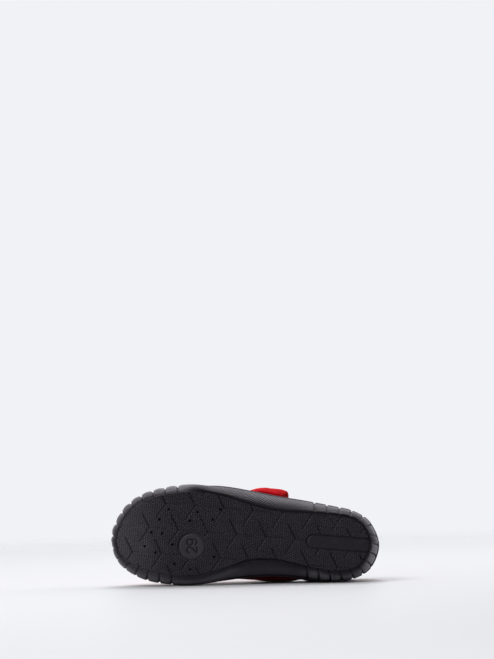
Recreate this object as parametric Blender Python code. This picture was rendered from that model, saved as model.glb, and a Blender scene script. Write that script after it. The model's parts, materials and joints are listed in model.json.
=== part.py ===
"""House slipper for the left foot, closed by a hook-and-loop strap.

The shoe is worked out on its own axes, in millimetres: along runs from the back of the heel to the toe,
across from the straight line that the medial side lies on to the lateral side, and up from the tread. Stations
go round the sole from the toe tip to the heel. The finished shoe lies on its medial side, with the toe at -X,
the tread facing -Y, and the sole's edge and the upper both on the floor.
"""

import math

import bmesh
import bpy
import numpy as np
from mathutils import Matrix

MM = 0.001
SMALL = 1e-9
GAP = 0.3
STATION_STEP = 0.02
GIRTH_STEP = 0.01
CURVE_SAMPLES = 400
SHARP_EDGE = 35.0

# Edges of the tread and of the widest line of the side, at each station from the toe tip to the heel.
SOLE_COLUMNS = ("tread_along", "tread_medial", "tread_lateral", "rim_along", "rim_medial", "rim_lateral")
SOLE_STATIONS = (
    (194.2, 32.6, 32.6, 199.1, 34.5, 34.5),
    (191.4, 23.4, 43.2, 196.5, 22.0, 47.4),
    (184.3, 16.2, 54.6, 188.7, 12.5, 59.7),
    (172.5, 10.2, 62.7, 174.2, 4.5, 69.0),
    (154.5, 6.1, 67.0, 155.0, 0.5, 73.9),
    (136.0, 6.0, 68.0, 136.0, 0.0, 75.0),
    (116.5, 10.4, 64.6, 116.0, 2.5, 74.4),
    (97.0, 16.8, 58.0, 96.0, 4.5, 70.8),
    (77.0, 16.8, 52.6, 76.0, 4.9, 66.3),
    (56.5, 11.4, 50.2, 56.0, 3.0, 62.7),
    (35.0, 6.9, 48.3, 34.0, 0.4, 58.2),
    (21.0, 8.4, 45.6, 18.0, 2.8, 54.1),
    (12.4, 15.2, 39.6, 5.5, 11.0, 45.4),
    (7.8, 27.8, 27.8, -0.8, 28.0, 28.0),
)

# The last: where each station's rib ends on the ridge, its fullness, how far it swells over the sole, and the
# height of the opening's edge on it.
LAST_COLUMNS = ("ridge_along", "ridge_across", "ridge_up", "fullness", "swell_medial", "swell_lateral",
                "swell_up", "topline_up")
LAST_STATIONS = (
    (174.0, 35.0, 38.0, 2.40, 1.8, 1.8, 26.0, 38.0),
    (172.0, 35.2, 38.3, 2.40, 1.8, 1.8, 26.0, 38.3),
    (167.0, 35.6, 39.0, 2.40, 1.8, 2.0, 25.0, 39.0),
    (158.0, 36.2, 40.5, 2.35, 1.6, 2.4, 25.0, 40.5),
    (145.5, 36.6, 43.2, 2.30, 1.4, 2.6, 25.0, 43.2),
    (131.0, 36.4, 47.0, 2.25, 1.4, 3.2, 26.0, 47.0),
    (114.5, 35.4, 50.6, 2.20, 1.8, 3.8, 27.0, 50.6),
    (97.0, 34.2, 54.0, 2.25, 4.6, 5.2, 28.0, 51.0),
    (79.0, 33.0, 57.5, 2.35, 6.8, 5.4, 29.0, 46.0),
    (61.0, 32.0, 62.5, 2.25, 3.2, 3.2, 29.0, 42.0),
    (42.0, 31.2, 69.0, 2.05, 0.3, 2.2, 28.0, 43.0),
    (30.0, 30.0, 75.0, 2.05, 0.4, 1.8, 28.0, 47.0),
    (25.0, 28.6, 78.0, 2.10, 1.6, 1.8, 28.0, 51.0),
    (23.5, 28.0, 79.0, 2.10, 2.2, 2.2, 28.0, 52.5),
)
LAST_STATION = len(SOLE_STATIONS) - 1
ROUND = 2 * LAST_STATION
THROAT_FRONT = 6.0
THROAT_BACK = 7.0

# The sole's side view: where the foot's cup is floored, and where the side ends.
SIDE_VIEW_COLUMNS = ("along", "floor_up", "wall_top")
SIDE_VIEW = (
    (0.0, 9.4, 18.5),
    (25.0, 9.2, 17.6),
    (60.0, 8.8, 15.8),
    (95.0, 7.6, 14.6),
    (125.0, 6.6, 14.4),
    (155.0, 6.4, 15.0),
    (180.0, 7.6, 16.8),
    (198.0, 9.4, 19.0),
)
TOE_SPRING_FROM = 158.0
TOE_SPRING = 5.0
ARCH_FROM = 54.0
ARCH_TO = 106.0
ARCH_RISE = 1.4
HEEL_BEVEL_FROM = 14.0
HEEL_BEVEL = 1.6

# The side's section from the tread's edge to the cup: share of the way to the rim and rise towards the top
# edge, each for the blocks at toe and heel and for the smooth waist, then steps out and up in mm, how deep a
# notch cuts a row all round and short of the heel's back, and how far it lifts the row.
WALL_COLUMNS = ("share", "rise", "waist_share", "waist_rise", "out", "waist_out", "lift", "notch_depth",
                "bead_notch", "notch_lift")
WALL_SECTION = (
    (0.00, 0.00, 0.00, 0.00, 0.0, 0.0, 0.0, 0.0, 0.0, 0.0),
    (0.00, 0.00, 0.00, 0.00, 0.1, 0.0, 1.0, 0.0, 0.0, 0.0),
    (0.00, 0.00, 0.00, 0.00, 1.1, 0.0, 1.0, 0.0, 0.0, 0.0),
    (0.00, 0.00, 0.00, 0.00, 1.6, 0.0, 0.3, 0.3, 0.0, 0.5),
    (0.72, 0.09, 0.50, 0.22, 0.0, -0.3, 0.0, 1.5, 0.0, 0.0),
    (0.95, 0.28, 0.84, 0.48, 0.0, -0.8, 0.0, 1.5, 0.0, 0.0),
    (1.00, 0.52, 1.00, 0.62, 0.0, -1.5, 0.0, 1.5, 0.0, 0.0),
    (1.00, 1.00, 1.00, 1.00, -0.2, -1.4, -4.2, 1.1, 0.2, 0.0),
    (1.00, 1.00, 1.00, 1.00, -1.0, -1.0, -3.5, 0.0, 0.5, 0.0),
    (1.00, 1.00, 1.00, 1.00, -0.2, 0.0, -2.8, 0.0, 1.3, 0.0),
    (1.00, 1.00, 1.00, 1.00, -0.3, 0.0, -0.8, 0.0, 1.2, 0.0),
    (1.00, 1.00, 1.00, 1.00, -0.9, 0.0, 0.0, 0.0, 0.8, 0.0),
    (1.00, 1.00, 1.00, 1.00, -2.6, 0.0, 0.0, 0.0, 0.0, 0.0),
)
HEEL_BAND_TO = 3.0
HEEL_BAND_FADE = 7.0
BLOCK_STRIP = 5.5
WAIST_STRIP = 9.5
CUP_INSET = 3.0

# Block lugs round toe and heel: the first notch from each tip, their pitch and their number, on each side.
LUG_NOTCHES = {
    "lateral": {"toe": (3.6, 9.6, 8), "heel": (6.4, 9.6, 7)},
    "medial": {"toe": (5.6, 9.35, 7), "heel": (1.2, 8.6, 9)},
}
NOTCH_WIDTH = 0.9
NOTCH_EDGE = 0.3
PLAIN_COLUMNS = 12

# Round boss and long bar in the tread, each outlined by a groove.
BOSS_ALONG = 139.0
BOSS_ACROSS = 27.2
BOSS_RADIUS = 9.8
BAR_FRONT_ALONG = 48.8
BAR_FRONT_ACROSS = 29.0
BAR_BACK_ALONG = 13.0
BAR_BACK_ACROSS = 25.4
BAR_HALF_WIDTH = 4.9
GROOVE_WIDTH = 1.0
GROOVE_DEPTH = 0.8
GROOVE_CLEAR = 4.0
GROOVE_SIDES = 32

UPPER_WALL = 2.4
COLLAR_WALL = 4.6
COLLAR_FROM_STATION = 8.5
COLLAR_OVER_STATIONS = 0.9
COLLAR_DEPTH = 11.0
COLLAR_ROWS = ((COLLAR_DEPTH, 0.0), (COLLAR_DEPTH - 0.9, 0.8), (5.0, 1.3), (0.0, 0.3))
BODY_SHARES = (0.2, 0.4, 0.6, 0.8)
RIBS_PER_STATION = 3
FEATHER_INSET = CUP_INSET + GAP

INSOLE_THICKNESS = 3.5
INSOLE_DISH = 1.2
INSOLE_INSET = FEATHER_INSET + UPPER_WALL + 0.5
INSOLE_END = 0.08
INSOLE_RUNGS = 34
INSOLE_ACROSS = (0.0, 0.15, 0.5, 0.85, 1.0)

TONGUE_FROM_STATION = 5.5
TONGUE_TO_STATION = 8.75
TONGUE_HALF_GIRTH = 0.40
TONGUE_END_SHARE = 0.62
TONGUE_END_ROUNDING = 0.5
TONGUE_THICKNESS = 3.6
TONGUE_CROWN = 1.8
TONGUE_CROWN_FROM = 6.3
TONGUE_CROWN_OVER = 0.7
TONGUE_CLEARANCE = UPPER_WALL + 1.3
TONGUE_GRID = (14, 9)

STRAP_STATION = 7.7
STRAP_HALF_WIDTH = 0.74
STRAP_MEDIAL_GIRTH = -0.57
STRAP_LATERAL_GIRTH = 0.90
STRAP_THICKNESS = 2.6
STRAP_LIFT = 0.5
STRAP_TAB_LIFT = 3.3
STRAP_TAB_FROM = 0.26
STRAP_TAB_TO = 0.56
STRAP_TAB_BACK = 0.82
STRAP_END_SHARE = 0.55
STRAP_CORNER = 0.16
STRAP_FRONT_SLOPE = 0.75
STRAP_EDGE_FROM = 0.6
STRAP_EDGE_THINNER = 1.1
STRAP_GRID = (28, 7)

PATCH_THICKNESS = 1.1
LOOP_LIFT = 0.35
HOOK_LIFT = LOOP_LIFT + PATCH_THICKNESS + GAP
LOOP_PATCH = {"front": 7.46, "back": 8.28, "high": 0.60, "low": 0.80}
HOOK_PATCH = {"front": 7.50, "back": 8.24, "high": 0.61, "low": 0.79}
PATCH_GRID = (7, 6)

LYING_TILT_MOST = 30.0
TILT_HALVINGS = 40


def column(table, names, name):
    return np.array([row[names.index(name)] for row in table])


def sole(name):
    return column(SOLE_STATIONS, SOLE_COLUMNS, name)


def last(name):
    return column(LAST_STATIONS, LAST_COLUMNS, name)


def ring(lateral, medial):
    """A value at every station round the shoe: toe tip, lateral side, heel, and back by the medial side."""
    return np.concatenate([lateral, medial[-2:0:-1]])


RIM = np.stack([ring(sole("rim_along"), sole("rim_along")),
                ring(sole("rim_lateral"), sole("rim_medial"))], axis=1)
TREAD = np.stack([ring(sole("tread_along"), sole("tread_along")),
                  ring(sole("tread_lateral"), sole("tread_medial"))], axis=1)
RIDGE = np.stack([ring(last(name), last(name))
                  for name in ("ridge_along", "ridge_across", "ridge_up")], axis=1)
RIDGE_SLOPE = np.gradient(last("ridge_up"), last("ridge_along"))
RIDGE_SLOPE = ring(RIDGE_SLOPE, RIDGE_SLOPE)
FULLNESS = ring(last("fullness"), last("fullness"))
SWELL = ring(last("swell_lateral"), last("swell_medial"))
SWELL_UP = ring(last("swell_up"), last("swell_up"))
TOPLINE_UP = ring(last("topline_up"), last("topline_up"))


def round_curve(rows, t):
    """Smooth closed curve through one row per station, at t stations from the toe tip by the lateral side."""
    t = np.asarray(t, dtype=float)
    i = np.floor(t).astype(int)
    f = t - i
    p0, p1, p2, p3 = (rows[(i + step) % ROUND] for step in (-1, 0, 1, 2))
    if rows.ndim > 1:
        f = f[..., None]
    return p1 + 0.5 * f * (p2 - p0 + f * (2 * p0 - 5 * p1 + 4 * p2 - p3 + f * (3 * (p1 - p2) + p3 - p0)))


def outward(t):
    """Unit direction in plan, square to the rim and away from the shoe."""
    t = np.asarray(t)
    run = round_curve(RIM, t + STATION_STEP) - round_curve(RIM, t - STATION_STEP)
    run /= np.linalg.norm(run, axis=-1, keepdims=True)
    return np.stack([run[..., 1], -run[..., 0]], axis=-1)


def side_view(name, along):
    """Smooth height from the side view's table."""
    knots = column(SIDE_VIEW, SIDE_VIEW_COLUMNS, "along")
    values = column(SIDE_VIEW, SIDE_VIEW_COLUMNS, name)
    slopes = np.gradient(values, knots)
    along = np.clip(along, knots[0], knots[-1])
    i = np.clip(np.searchsorted(knots, along, side="right") - 1, 0, len(knots) - 2)
    span = knots[i + 1] - knots[i]
    f = (along - knots[i]) / span
    rest = 1 - f
    ends = values[i] * rest * rest * (1 + 2 * f) + values[i + 1] * f * f * (3 - 2 * f)
    return ends + span * f * rest * (slopes[i] * rest - slopes[i + 1] * f)


def tread_up(along):
    """Underside: flat at heel and forefoot, sprung at the toe, arched at the waist, bevelled at the back."""
    spring = np.clip((along - TOE_SPRING_FROM) / (RIM[0, 0] - TOE_SPRING_FROM), 0, 1)
    arch = np.clip((along - ARCH_FROM) / (ARCH_TO - ARCH_FROM), 0, 1)
    bevel = np.clip((HEEL_BEVEL_FROM - along) / HEEL_BEVEL_FROM, 0, 1)
    return TOE_SPRING * spring ** 2 + ARCH_RISE * np.sin(math.pi * arch) ** 2 + HEEL_BEVEL * bevel ** 2


def smooth_step(value):
    value = np.clip(value, 0, 1)
    return value * value * (3 - 2 * value)


def rounded_end(from_end, end_share):
    """Share of the full width, down to end_share at the end itself, as a quarter ellipse."""
    return end_share + (1 - end_share) * np.sqrt(1 - (1 - from_end) ** 2)


def last_face(station, girth):
    """Outer face of the upper; girth goes from -1, medial edge, over 0, the ridge, to 1, lateral edge."""
    station, girth = np.broadcast_arrays(np.asarray(station, dtype=float), np.asarray(girth, dtype=float))
    t = np.where(girth < 0, -station, station)
    normal = outward(t)
    base = round_curve(RIM, t) - FEATHER_INSET * normal
    ridge = round_curve(RIDGE, t)
    seat = side_view("floor_up", base[..., 0]) + GAP
    wall_top = side_view("wall_top", base[..., 0])
    power = 2 / round_curve(FULLNESS, t)
    turn = (1 - np.minimum(np.abs(girth), 1.0)) * math.pi / 2
    reach = np.clip(np.cos(turn), 0, 1) ** power
    up = seat + (ridge[..., 2] - seat) * np.sin(turn) ** power
    climb = np.maximum(up - wall_top, 0) / (round_curve(SWELL_UP, t) - wall_top)
    swell = round_curve(SWELL, t) * climb * np.exp(1 - climb) * reach
    plan = ridge[..., :2] + (base - ridge[..., :2]) * reach[..., None] + normal * swell[..., None]
    up = up + round_curve(RIDGE_SLOPE, t) * (plan[..., 0] - ridge[..., 0]) * (1 - reach) ** 2
    return np.concatenate([plan, up[..., None]], axis=-1)


def lifted(station, girth, lift):
    """The upper's face moved out along its own normal, or in where lift is negative."""
    station, girth, lift = np.broadcast_arrays(*(np.asarray(v, dtype=float) for v in (station, girth, lift)))
    by_station = last_face(station + STATION_STEP, girth) - last_face(station - STATION_STEP, girth)
    by_girth = last_face(station, girth + GIRTH_STEP) - last_face(station, girth - GIRTH_STEP)
    normal = np.cross(by_girth, by_station)
    length = np.maximum(np.linalg.norm(normal, axis=-1, keepdims=True), SMALL)
    return last_face(station, girth) + normal / length * lift[..., None]


def girth_at(station, side, height):
    """Girth, on one side, at which a rib reaches a height."""
    girths = np.linspace(0.0, 1.0, CURVE_SAMPLES)
    ups = last_face(np.full(girths.shape, station), side * girths)[:, 2]
    return float(np.interp(-height, -ups, girths))


def opening_girth(station, side):
    """Girth at which the throat and collar cut a rib, zero where the vamp is closed."""
    if station <= THROAT_FRONT:
        return 0.0
    open_station = max(station, THROAT_BACK)
    edge = girth_at(open_station, side, float(round_curve(TOPLINE_UP, open_station)))
    share = min((station - THROAT_FRONT) / (THROAT_BACK - THROAT_FRONT), 1.0)
    return edge * math.sqrt(1 - (1 - share) ** 2)


def material(name, colour, roughness):
    made = bpy.data.materials.new(name)
    made.use_nodes = True
    shader = made.node_tree.nodes["Principled BSDF"]
    shader.inputs["Base Color"].default_value = (*colour, 1.0)
    shader.inputs["Roughness"].default_value = roughness
    shader.inputs["Metallic"].default_value = 0.0
    return made


def add_piece(name, points, faces, finish, shoe):
    """Object of one sub-part, its mesh in metres on the shoe's axes, carried by the shoe's empty."""
    mesh = bpy.data.meshes.new(name)
    mesh.from_pydata([tuple(float(v) * MM for v in point) for point in points], [], faces)
    shell = bmesh.new()
    shell.from_mesh(mesh)
    bmesh.ops.recalc_face_normals(shell, faces=shell.faces)
    shell.to_mesh(mesh)
    shell.free()
    mesh.shade_smooth()
    mesh.set_sharp_from_angle(angle=math.radians(SHARP_EDGE))
    mesh.materials.append(finish)
    piece = bpy.data.objects.new(name, mesh)
    bpy.context.collection.objects.link(piece)
    piece.parent = shoe
    return piece


def add_slab(name, outer, inner, finish, shoe):
    """Closed piece between two grids of points with the same rows and columns."""
    rows, columns = outer.shape[:2]
    index = np.arange(rows * columns).reshape(rows, columns)
    under = index + rows * columns
    faces = []
    for i in range(rows - 1):
        for j in range(columns - 1):
            corners = ((i, j), (i + 1, j), (i + 1, j + 1), (i, j + 1))
            faces.append(tuple(int(index[c]) for c in corners))
            faces.append(tuple(int(under[c]) for c in reversed(corners)))
    border = ([(0, j) for j in range(columns - 1)] + [(i, columns - 1) for i in range(rows - 1)]
              + [(rows - 1, j) for j in range(columns - 1, 0, -1)] + [(i, 0) for i in range(rows - 1, 0, -1)])
    for here, after in zip(border, border[1:] + border[:1]):
        faces.append((int(index[here]), int(index[after]), int(under[after]), int(under[here])))
    points = np.concatenate([outer.reshape(-1, 3), inner.reshape(-1, 3)])
    return add_piece(name, points, faces, finish, shoe)


def side_columns(side):
    """Places round one side of the sole, as (t, notch): notch edges and lug middles, then the plain waist."""
    stations = np.linspace(0, LAST_STATION, CURVE_SAMPLES * LAST_STATION // 4)
    t = stations if side == "lateral" else -stations
    steps = np.linalg.norm(np.diff(round_curve(RIM, t), axis=0), axis=1)
    arc = np.concatenate([[0.0], np.cumsum(steps)])
    toe_first, toe_pitch, toe_count = LUG_NOTCHES[side]["toe"]
    heel_first, heel_pitch, heel_count = LUG_NOTCHES[side]["heel"]
    notches = [toe_first + i * toe_pitch for i in range(toe_count)]
    notches += [arc[-1] - heel_first - i * heel_pitch for i in reversed(range(heel_count))]
    half = NOTCH_WIDTH / 2
    places = []
    for number, notch in enumerate(notches):
        places += [(notch - half - NOTCH_EDGE, 0), (notch - half, 1)]
        places += [(notch + half, 1), (notch + half + NOTCH_EDGE, 0)]
        if number == len(notches) - 1:
            continue
        if number == toe_count - 1:
            plain = np.linspace(notch, notches[number + 1], PLAIN_COLUMNS + 2)[1:-1]
            places += [(place, 0) for place in plain]
        else:
            places.append(((notch + notches[number + 1]) / 2, 0))
    return [(float(np.interp(place, arc, t)), notch) for place, notch in places]


def wall_points(t, notch):
    """Points of the side's section at one place, from the tread's edge up the outside and into the cup."""
    tread, rim, normal = round_curve(TREAD, t), round_curve(RIM, t), outward(t)
    waist = smooth_step((np.linalg.norm(rim - tread) - BLOCK_STRIP) / (WAIST_STRIP - BLOCK_STRIP))
    low = float(tread_up(tread[0]))
    top = float(side_view("wall_top", rim[0]))
    off_heel = smooth_step((rim[0] - HEEL_BAND_TO) / HEEL_BAND_FADE)
    points = []
    for values in WALL_SECTION:
        row = dict(zip(WALL_COLUMNS, values))
        reach = row["share"] + (row["waist_share"] - row["share"]) * waist
        climb = row["rise"] + (row["waist_rise"] - row["rise"]) * waist
        cut = notch * (row["notch_depth"] + row["bead_notch"] * off_heel)
        plan = tread + (rim - tread) * reach + normal * (row["out"] + row["waist_out"] * waist - cut)
        points.append((*plan, low + climb * (top - low) + row["lift"] + notch * row["notch_lift"]))
    cup = rim - CUP_INSET * normal
    points.append((*cup, float(side_view("floor_up", cup[0]))))
    return points


def add_groove(target, name, path_out, path_in, shoe):
    """Cuts a narrow groove between two outlines into the tread."""
    count = len(path_out)
    points = [(*p, up) for up in (-GROOVE_CLEAR, GROOVE_DEPTH) for path in (path_out, path_in) for p in path]
    low_out, low_in, top_out, top_in = (range(k * count, (k + 1) * count) for k in range(4))
    faces = []
    for i in range(count):
        j = (i + 1) % count
        faces += [(low_out[i], low_out[j], low_in[j], low_in[i]),
                  (top_out[i], top_out[j], top_in[j], top_in[i]),
                  (low_out[i], low_out[j], top_out[j], top_out[i]),
                  (low_in[i], low_in[j], top_in[j], top_in[i])]
    cutter = add_piece(name, points, faces, target.data.materials[0], shoe)
    cutter.hide_render = True
    cutter.display_type = "WIRE"
    cut = target.modifiers.new(name, "BOOLEAN")
    cut.object = cutter
    cut.operation = "DIFFERENCE"
    cut.solver = "EXACT"


def capsule(radius):
    """Outline of the long bar in the tread, with round ends."""
    front = np.array([BAR_FRONT_ALONG, BAR_FRONT_ACROSS])
    back = np.array([BAR_BACK_ALONG, BAR_BACK_ACROSS])
    heading = math.atan2(front[1] - back[1], front[0] - back[0])
    points = []
    for k in range(GROOVE_SIDES):
        angle = heading - math.pi / 2 + 2 * math.pi * (k + 0.5) / GROOVE_SIDES
        centre = front if k < GROOVE_SIDES / 2 else back
        points.append(centre + radius * np.array([math.cos(angle), math.sin(angle)]))
    return points


def circle(radius):
    """Outline of the round boss in the tread."""
    angles = 2 * math.pi * np.arange(GROOVE_SIDES) / GROOVE_SIDES
    centre = np.array([BOSS_ALONG, BOSS_ACROSS])
    return [centre + radius * np.array([math.cos(a), math.sin(a)]) for a in angles]


def ladder(lateral, medial, along):
    """Triangles that close a face between two chains from toe to heel, stepping on along the one behind."""
    triangles, i, j = [], 0, 0
    while i < len(lateral) - 1 or j < len(medial) - 1:
        step_lateral = j == len(medial) - 1 or (
            i < len(lateral) - 1 and along[lateral[i + 1]] >= along[medial[j + 1]])
        ahead = lateral[i + 1] if step_lateral else medial[j + 1]
        triangles.append((lateral[i], ahead, medial[j]))
        i, j = (i + 1, j) if step_lateral else (i, j + 1)
    return [triangle for triangle in triangles if len(set(triangle)) == 3]


def add_outsole(shoe):
    """Moulded cup sole: tread, border step, side with lugs and bead, and the cup that takes the upper."""
    lateral, medial = side_columns("lateral"), side_columns("medial")
    places = [(0.0, 0)] + lateral + [(float(LAST_STATION), 0)] + medial[::-1]
    sections = np.array([wall_points(t, notch) for t, notch in places])
    count, rows = sections.shape[:2]
    faces = []
    for i in range(count):
        j = (i + 1) % count
        faces += [(i * rows + k, j * rows + k, j * rows + k + 1, i * rows + k + 1) for k in range(rows - 1)]
    heel = len(lateral) + 1
    lateral_chain = list(range(heel + 1))
    medial_chain = [0] + list(range(count - 1, heel - 1, -1))
    for row in (0, rows - 1):
        rungs = ladder(lateral_chain, medial_chain, sections[:, row, 0])
        faces += [tuple(k * rows + row for k in rung) for rung in rungs]
    rubber = material("sole_rubber", (0.035, 0.033, 0.038), 0.6)
    outsole = add_piece("outsole", sections.reshape(-1, 3), faces, rubber, shoe)
    half = GROOVE_WIDTH / 2
    add_groove(outsole, "boss_groove", circle(BOSS_RADIUS + half), circle(BOSS_RADIUS - half), shoe)
    add_groove(outsole, "bar_groove", capsule(BAR_HALF_WIDTH + half), capsule(BAR_HALF_WIDTH - half), shoe)
    return outsole


def rib_points(station, side):
    """One rib of the upper, from its edge in the sole's cup to the opening, or to the ridge."""
    edge = opening_girth(station, side)
    base = last_face(station, side * 1.0)
    lip = girth_at(station, side, float(side_view("wall_top", base[0])) + GAP)
    girths = np.linspace(lip, edge, CURVE_SAMPLES)
    stations = np.full(girths.shape, station)
    run = last_face(stations, side * girths)
    arc = np.concatenate([[0.0], np.cumsum(np.linalg.norm(np.diff(run, axis=0), axis=1))])
    collar = float(smooth_step((station - COLLAR_FROM_STATION) / COLLAR_OVER_STATIONS))
    body = arc[-1] - COLLAR_DEPTH
    places = [(0.0, 0.0)] + [(share * body, 0.0) for share in BODY_SHARES]
    places += [(arc[-1] - below, puff * collar) for below, puff in COLLAR_ROWS]
    at = side * np.interp([place for place, _ in places], arc, girths)
    lifts = np.array([puff for _, puff in places])
    return np.concatenate([base[None], lifted(np.full(at.shape, station), at, lifts)]), collar


def add_upper(shoe):
    """Hollow textile upper, with its padded collar as a step in the wall."""
    count = LAST_STATION * RIBS_PER_STATION
    points, padding, ribs = [], [], {}
    for i in range(count + 1):
        station = i / RIBS_PER_STATION
        for side in (1, -1):
            if side == -1 and i in (0, count):
                ribs[side, i] = ribs[1, i]
                continue
            rib, collar = rib_points(station, side)
            rows = list(range(len(points), len(points) + len(rib)))
            if side == -1 and station <= THROAT_FRONT:
                rib = rib[:-1]
                rows[-1] = ribs[1, i][-1]
            points += [tuple(p) for p in rib]
            first_padded = len(rib) - len(COLLAR_ROWS) + 1
            padding += [collar if k >= first_padded else 0.0 for k in range(len(rib))]
            ribs[side, i] = rows
    faces = []
    for side in (1, -1):
        for i in range(count):
            a, b = ribs[side, i], ribs[side, i + 1]
            quads = [(a[k], b[k], b[k + 1], a[k + 1]) for k in range(len(a) - 1)]
            faces += [quad if side == 1 else quad[::-1] for quad in quads]
    felt = material("upper_felt", (0.55, 0.012, 0.016), 0.9)
    upper = add_piece("upper", points, faces, felt, shoe)
    padded = upper.vertex_groups.new(name="padded_collar")
    for i, weight in enumerate(padding):
        padded.add([i], weight, "REPLACE")
    wall = upper.modifiers.new("wall", "SOLIDIFY")
    wall.thickness = COLLAR_WALL * MM
    wall.offset = -1.0
    wall.use_even_offset = True
    wall.use_rim = True
    wall.vertex_group = padded.name
    wall.thickness_vertex_group = UPPER_WALL / COLLAR_WALL
    return upper


def add_insole(shoe):
    """Soft sock in the cup, slightly dished."""
    stations = np.linspace(0, 1, INSOLE_RUNGS)
    stations = INSOLE_END + (LAST_STATION - 2 * INSOLE_END) * stations
    lateral = round_curve(RIM, stations) - INSOLE_INSET * outward(stations)
    medial = round_curve(RIM, -stations) - INSOLE_INSET * outward(-stations)
    top, bottom = [], []
    for left, right in zip(lateral, medial):
        plans = [left + (right - left) * share for share in INSOLE_ACROSS]
        seats = [float(side_view("floor_up", plan[0])) + GAP for plan in plans]
        dishes = [INSOLE_DISH * math.sin(math.pi * share) for share in INSOLE_ACROSS]
        bottom.append([(*plan, seat) for plan, seat in zip(plans, seats)])
        heights = [seat + INSOLE_THICKNESS - dish for seat, dish in zip(seats, dishes)]
        top.append([(*plan, height) for plan, height in zip(plans, heights)])
    sock = material("insole_textile", (0.05, 0.05, 0.055), 0.95)
    return add_slab("insole", np.array(top), np.array(bottom), sock, shoe)


def add_tongue(shoe):
    """Padded tongue under the throat, its front end under the vamp."""
    rows, columns = TONGUE_GRID
    share = np.linspace(0, 1, rows)
    stations = TONGUE_FROM_STATION + (TONGUE_TO_STATION - TONGUE_FROM_STATION) * share
    from_end = np.clip((TONGUE_TO_STATION - stations) / TONGUE_END_ROUNDING, 0, 1)
    half = TONGUE_HALF_GIRTH * rounded_end(from_end, TONGUE_END_SHARE)
    sideways = np.linspace(-1, 1, columns)[None, :]
    girths = half[:, None] * sideways
    grid = np.broadcast_to(stations[:, None], girths.shape)
    crown = TONGUE_CROWN * smooth_step((grid - TONGUE_CROWN_FROM) / TONGUE_CROWN_OVER) * (1 - sideways ** 2)
    outer = lifted(grid, girths, crown - TONGUE_CLEARANCE)
    inner = lifted(grid, girths, -TONGUE_CLEARANCE - TONGUE_THICKNESS)
    felt = material("tongue_felt", (0.50, 0.012, 0.016), 0.9)
    return add_slab("tongue", outer, inner, felt, shoe)


def add_strap(shoe):
    """Closing strap over the instep, from its medial seam to its round lateral tab, its front edge low."""
    rows, columns = STRAP_GRID
    girths = np.linspace(STRAP_MEDIAL_GIRTH, STRAP_LATERAL_GIRTH, rows)
    from_end = np.clip((STRAP_LATERAL_GIRTH - girths) / STRAP_CORNER, 0, 1)
    half = STRAP_HALF_WIDTH * rounded_end(from_end, STRAP_END_SHARE)
    sideways = np.linspace(-1, 1, columns)[None, :]
    stations = STRAP_STATION + half[:, None] * sideways
    grid = np.broadcast_to(girths[:, None], stations.shape)
    rise = smooth_step((grid - STRAP_TAB_FROM) / (STRAP_TAB_TO - STRAP_TAB_FROM))
    rise = rise * smooth_step((sideways + 1) / STRAP_FRONT_SLOPE)
    rise = rise * (1 - smooth_step((grid - STRAP_TAB_BACK) / (STRAP_LATERAL_GIRTH - STRAP_TAB_BACK)))
    lift = STRAP_LIFT + (STRAP_TAB_LIFT - STRAP_LIFT) * rise
    thinner = STRAP_EDGE_THINNER * smooth_step((np.abs(sideways) - STRAP_EDGE_FROM) / (1 - STRAP_EDGE_FROM))
    felt = material("strap_felt", (0.60, 0.012, 0.018), 0.85)
    outer = lifted(stations, grid, lift + STRAP_THICKNESS - thinner)
    return add_slab("strap", outer, lifted(stations, grid, lift), felt, shoe)


def add_patch(name, place, lift, finish, shoe):
    """One half of the hook-and-loop closure, on the lateral side."""
    rows, columns = PATCH_GRID
    along = np.linspace(place["front"], place["back"], rows)
    round_foot = np.linspace(place["high"], place["low"], columns)
    stations, girths = np.meshgrid(along, round_foot, indexing="ij")
    outer = lifted(stations, girths, lift + PATCH_THICKNESS)
    return add_slab(name, outer, lifted(stations, girths, lift), finish, shoe)


def lying_tilt(sole_points, upper_points):
    """Angle, from standing on the sole's edge, at which the upper comes down to the floor too."""
    def lowest(points, angle):
        return (points[:, 1] * math.cos(angle) - points[:, 2] * math.sin(angle)).min()
    low, high = 0.0, math.radians(LYING_TILT_MOST)
    for _ in range(TILT_HALVINGS):
        middle = (low + high) / 2
        if lowest(upper_points, middle) > lowest(sole_points, middle):
            low = middle
        else:
            high = middle
    return low


def lay_down(shoe, pieces):
    """Turns the shoe onto its medial side and puts the middle of its footprint at the origin."""
    points = {piece.name: np.array([vertex.co for vertex in piece.data.vertices]) for piece in pieces}
    tilt = lying_tilt(points["outsole"], points["upper"])
    onto_side = Matrix(((-1, 0, 0), (0, 0, 1), (0, 1, 0)))
    turn = Matrix.Rotation(-tilt, 3, "X") @ onto_side
    world = np.concatenate(list(points.values())) @ np.array(turn).T
    middle = (world.min(axis=0) + world.max(axis=0)) / 2
    shoe.matrix_world = Matrix.Translation((-middle[0], -middle[1], -world[:, 2].min())) @ turn.to_4x4()


def main():
    for old in list(bpy.data.objects):
        bpy.data.objects.remove(old)
    shoe = bpy.data.objects.new("lying_slipper", None)
    bpy.context.collection.objects.link(shoe)
    hooks = material("hook_tape", (0.02, 0.02, 0.022), 0.7)
    loops = material("loop_tape", (0.03, 0.028, 0.03), 0.95)
    pieces = [
        add_outsole(shoe),
        add_insole(shoe),
        add_upper(shoe),
        add_tongue(shoe),
        add_strap(shoe),
        add_patch("loop_patch", LOOP_PATCH, LOOP_LIFT, loops, shoe),
        add_patch("hook_patch", HOOK_PATCH, HOOK_LIFT, hooks, shoe),
    ]
    lay_down(shoe, pieces)


main()
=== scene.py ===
"""Looks of a left house slipper lying on its side: rubber sole, felt upper, tongue, strap and closure."""

import json
import math

import bmesh
import bpy
import numpy as np
from mathutils import Matrix, Vector


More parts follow.
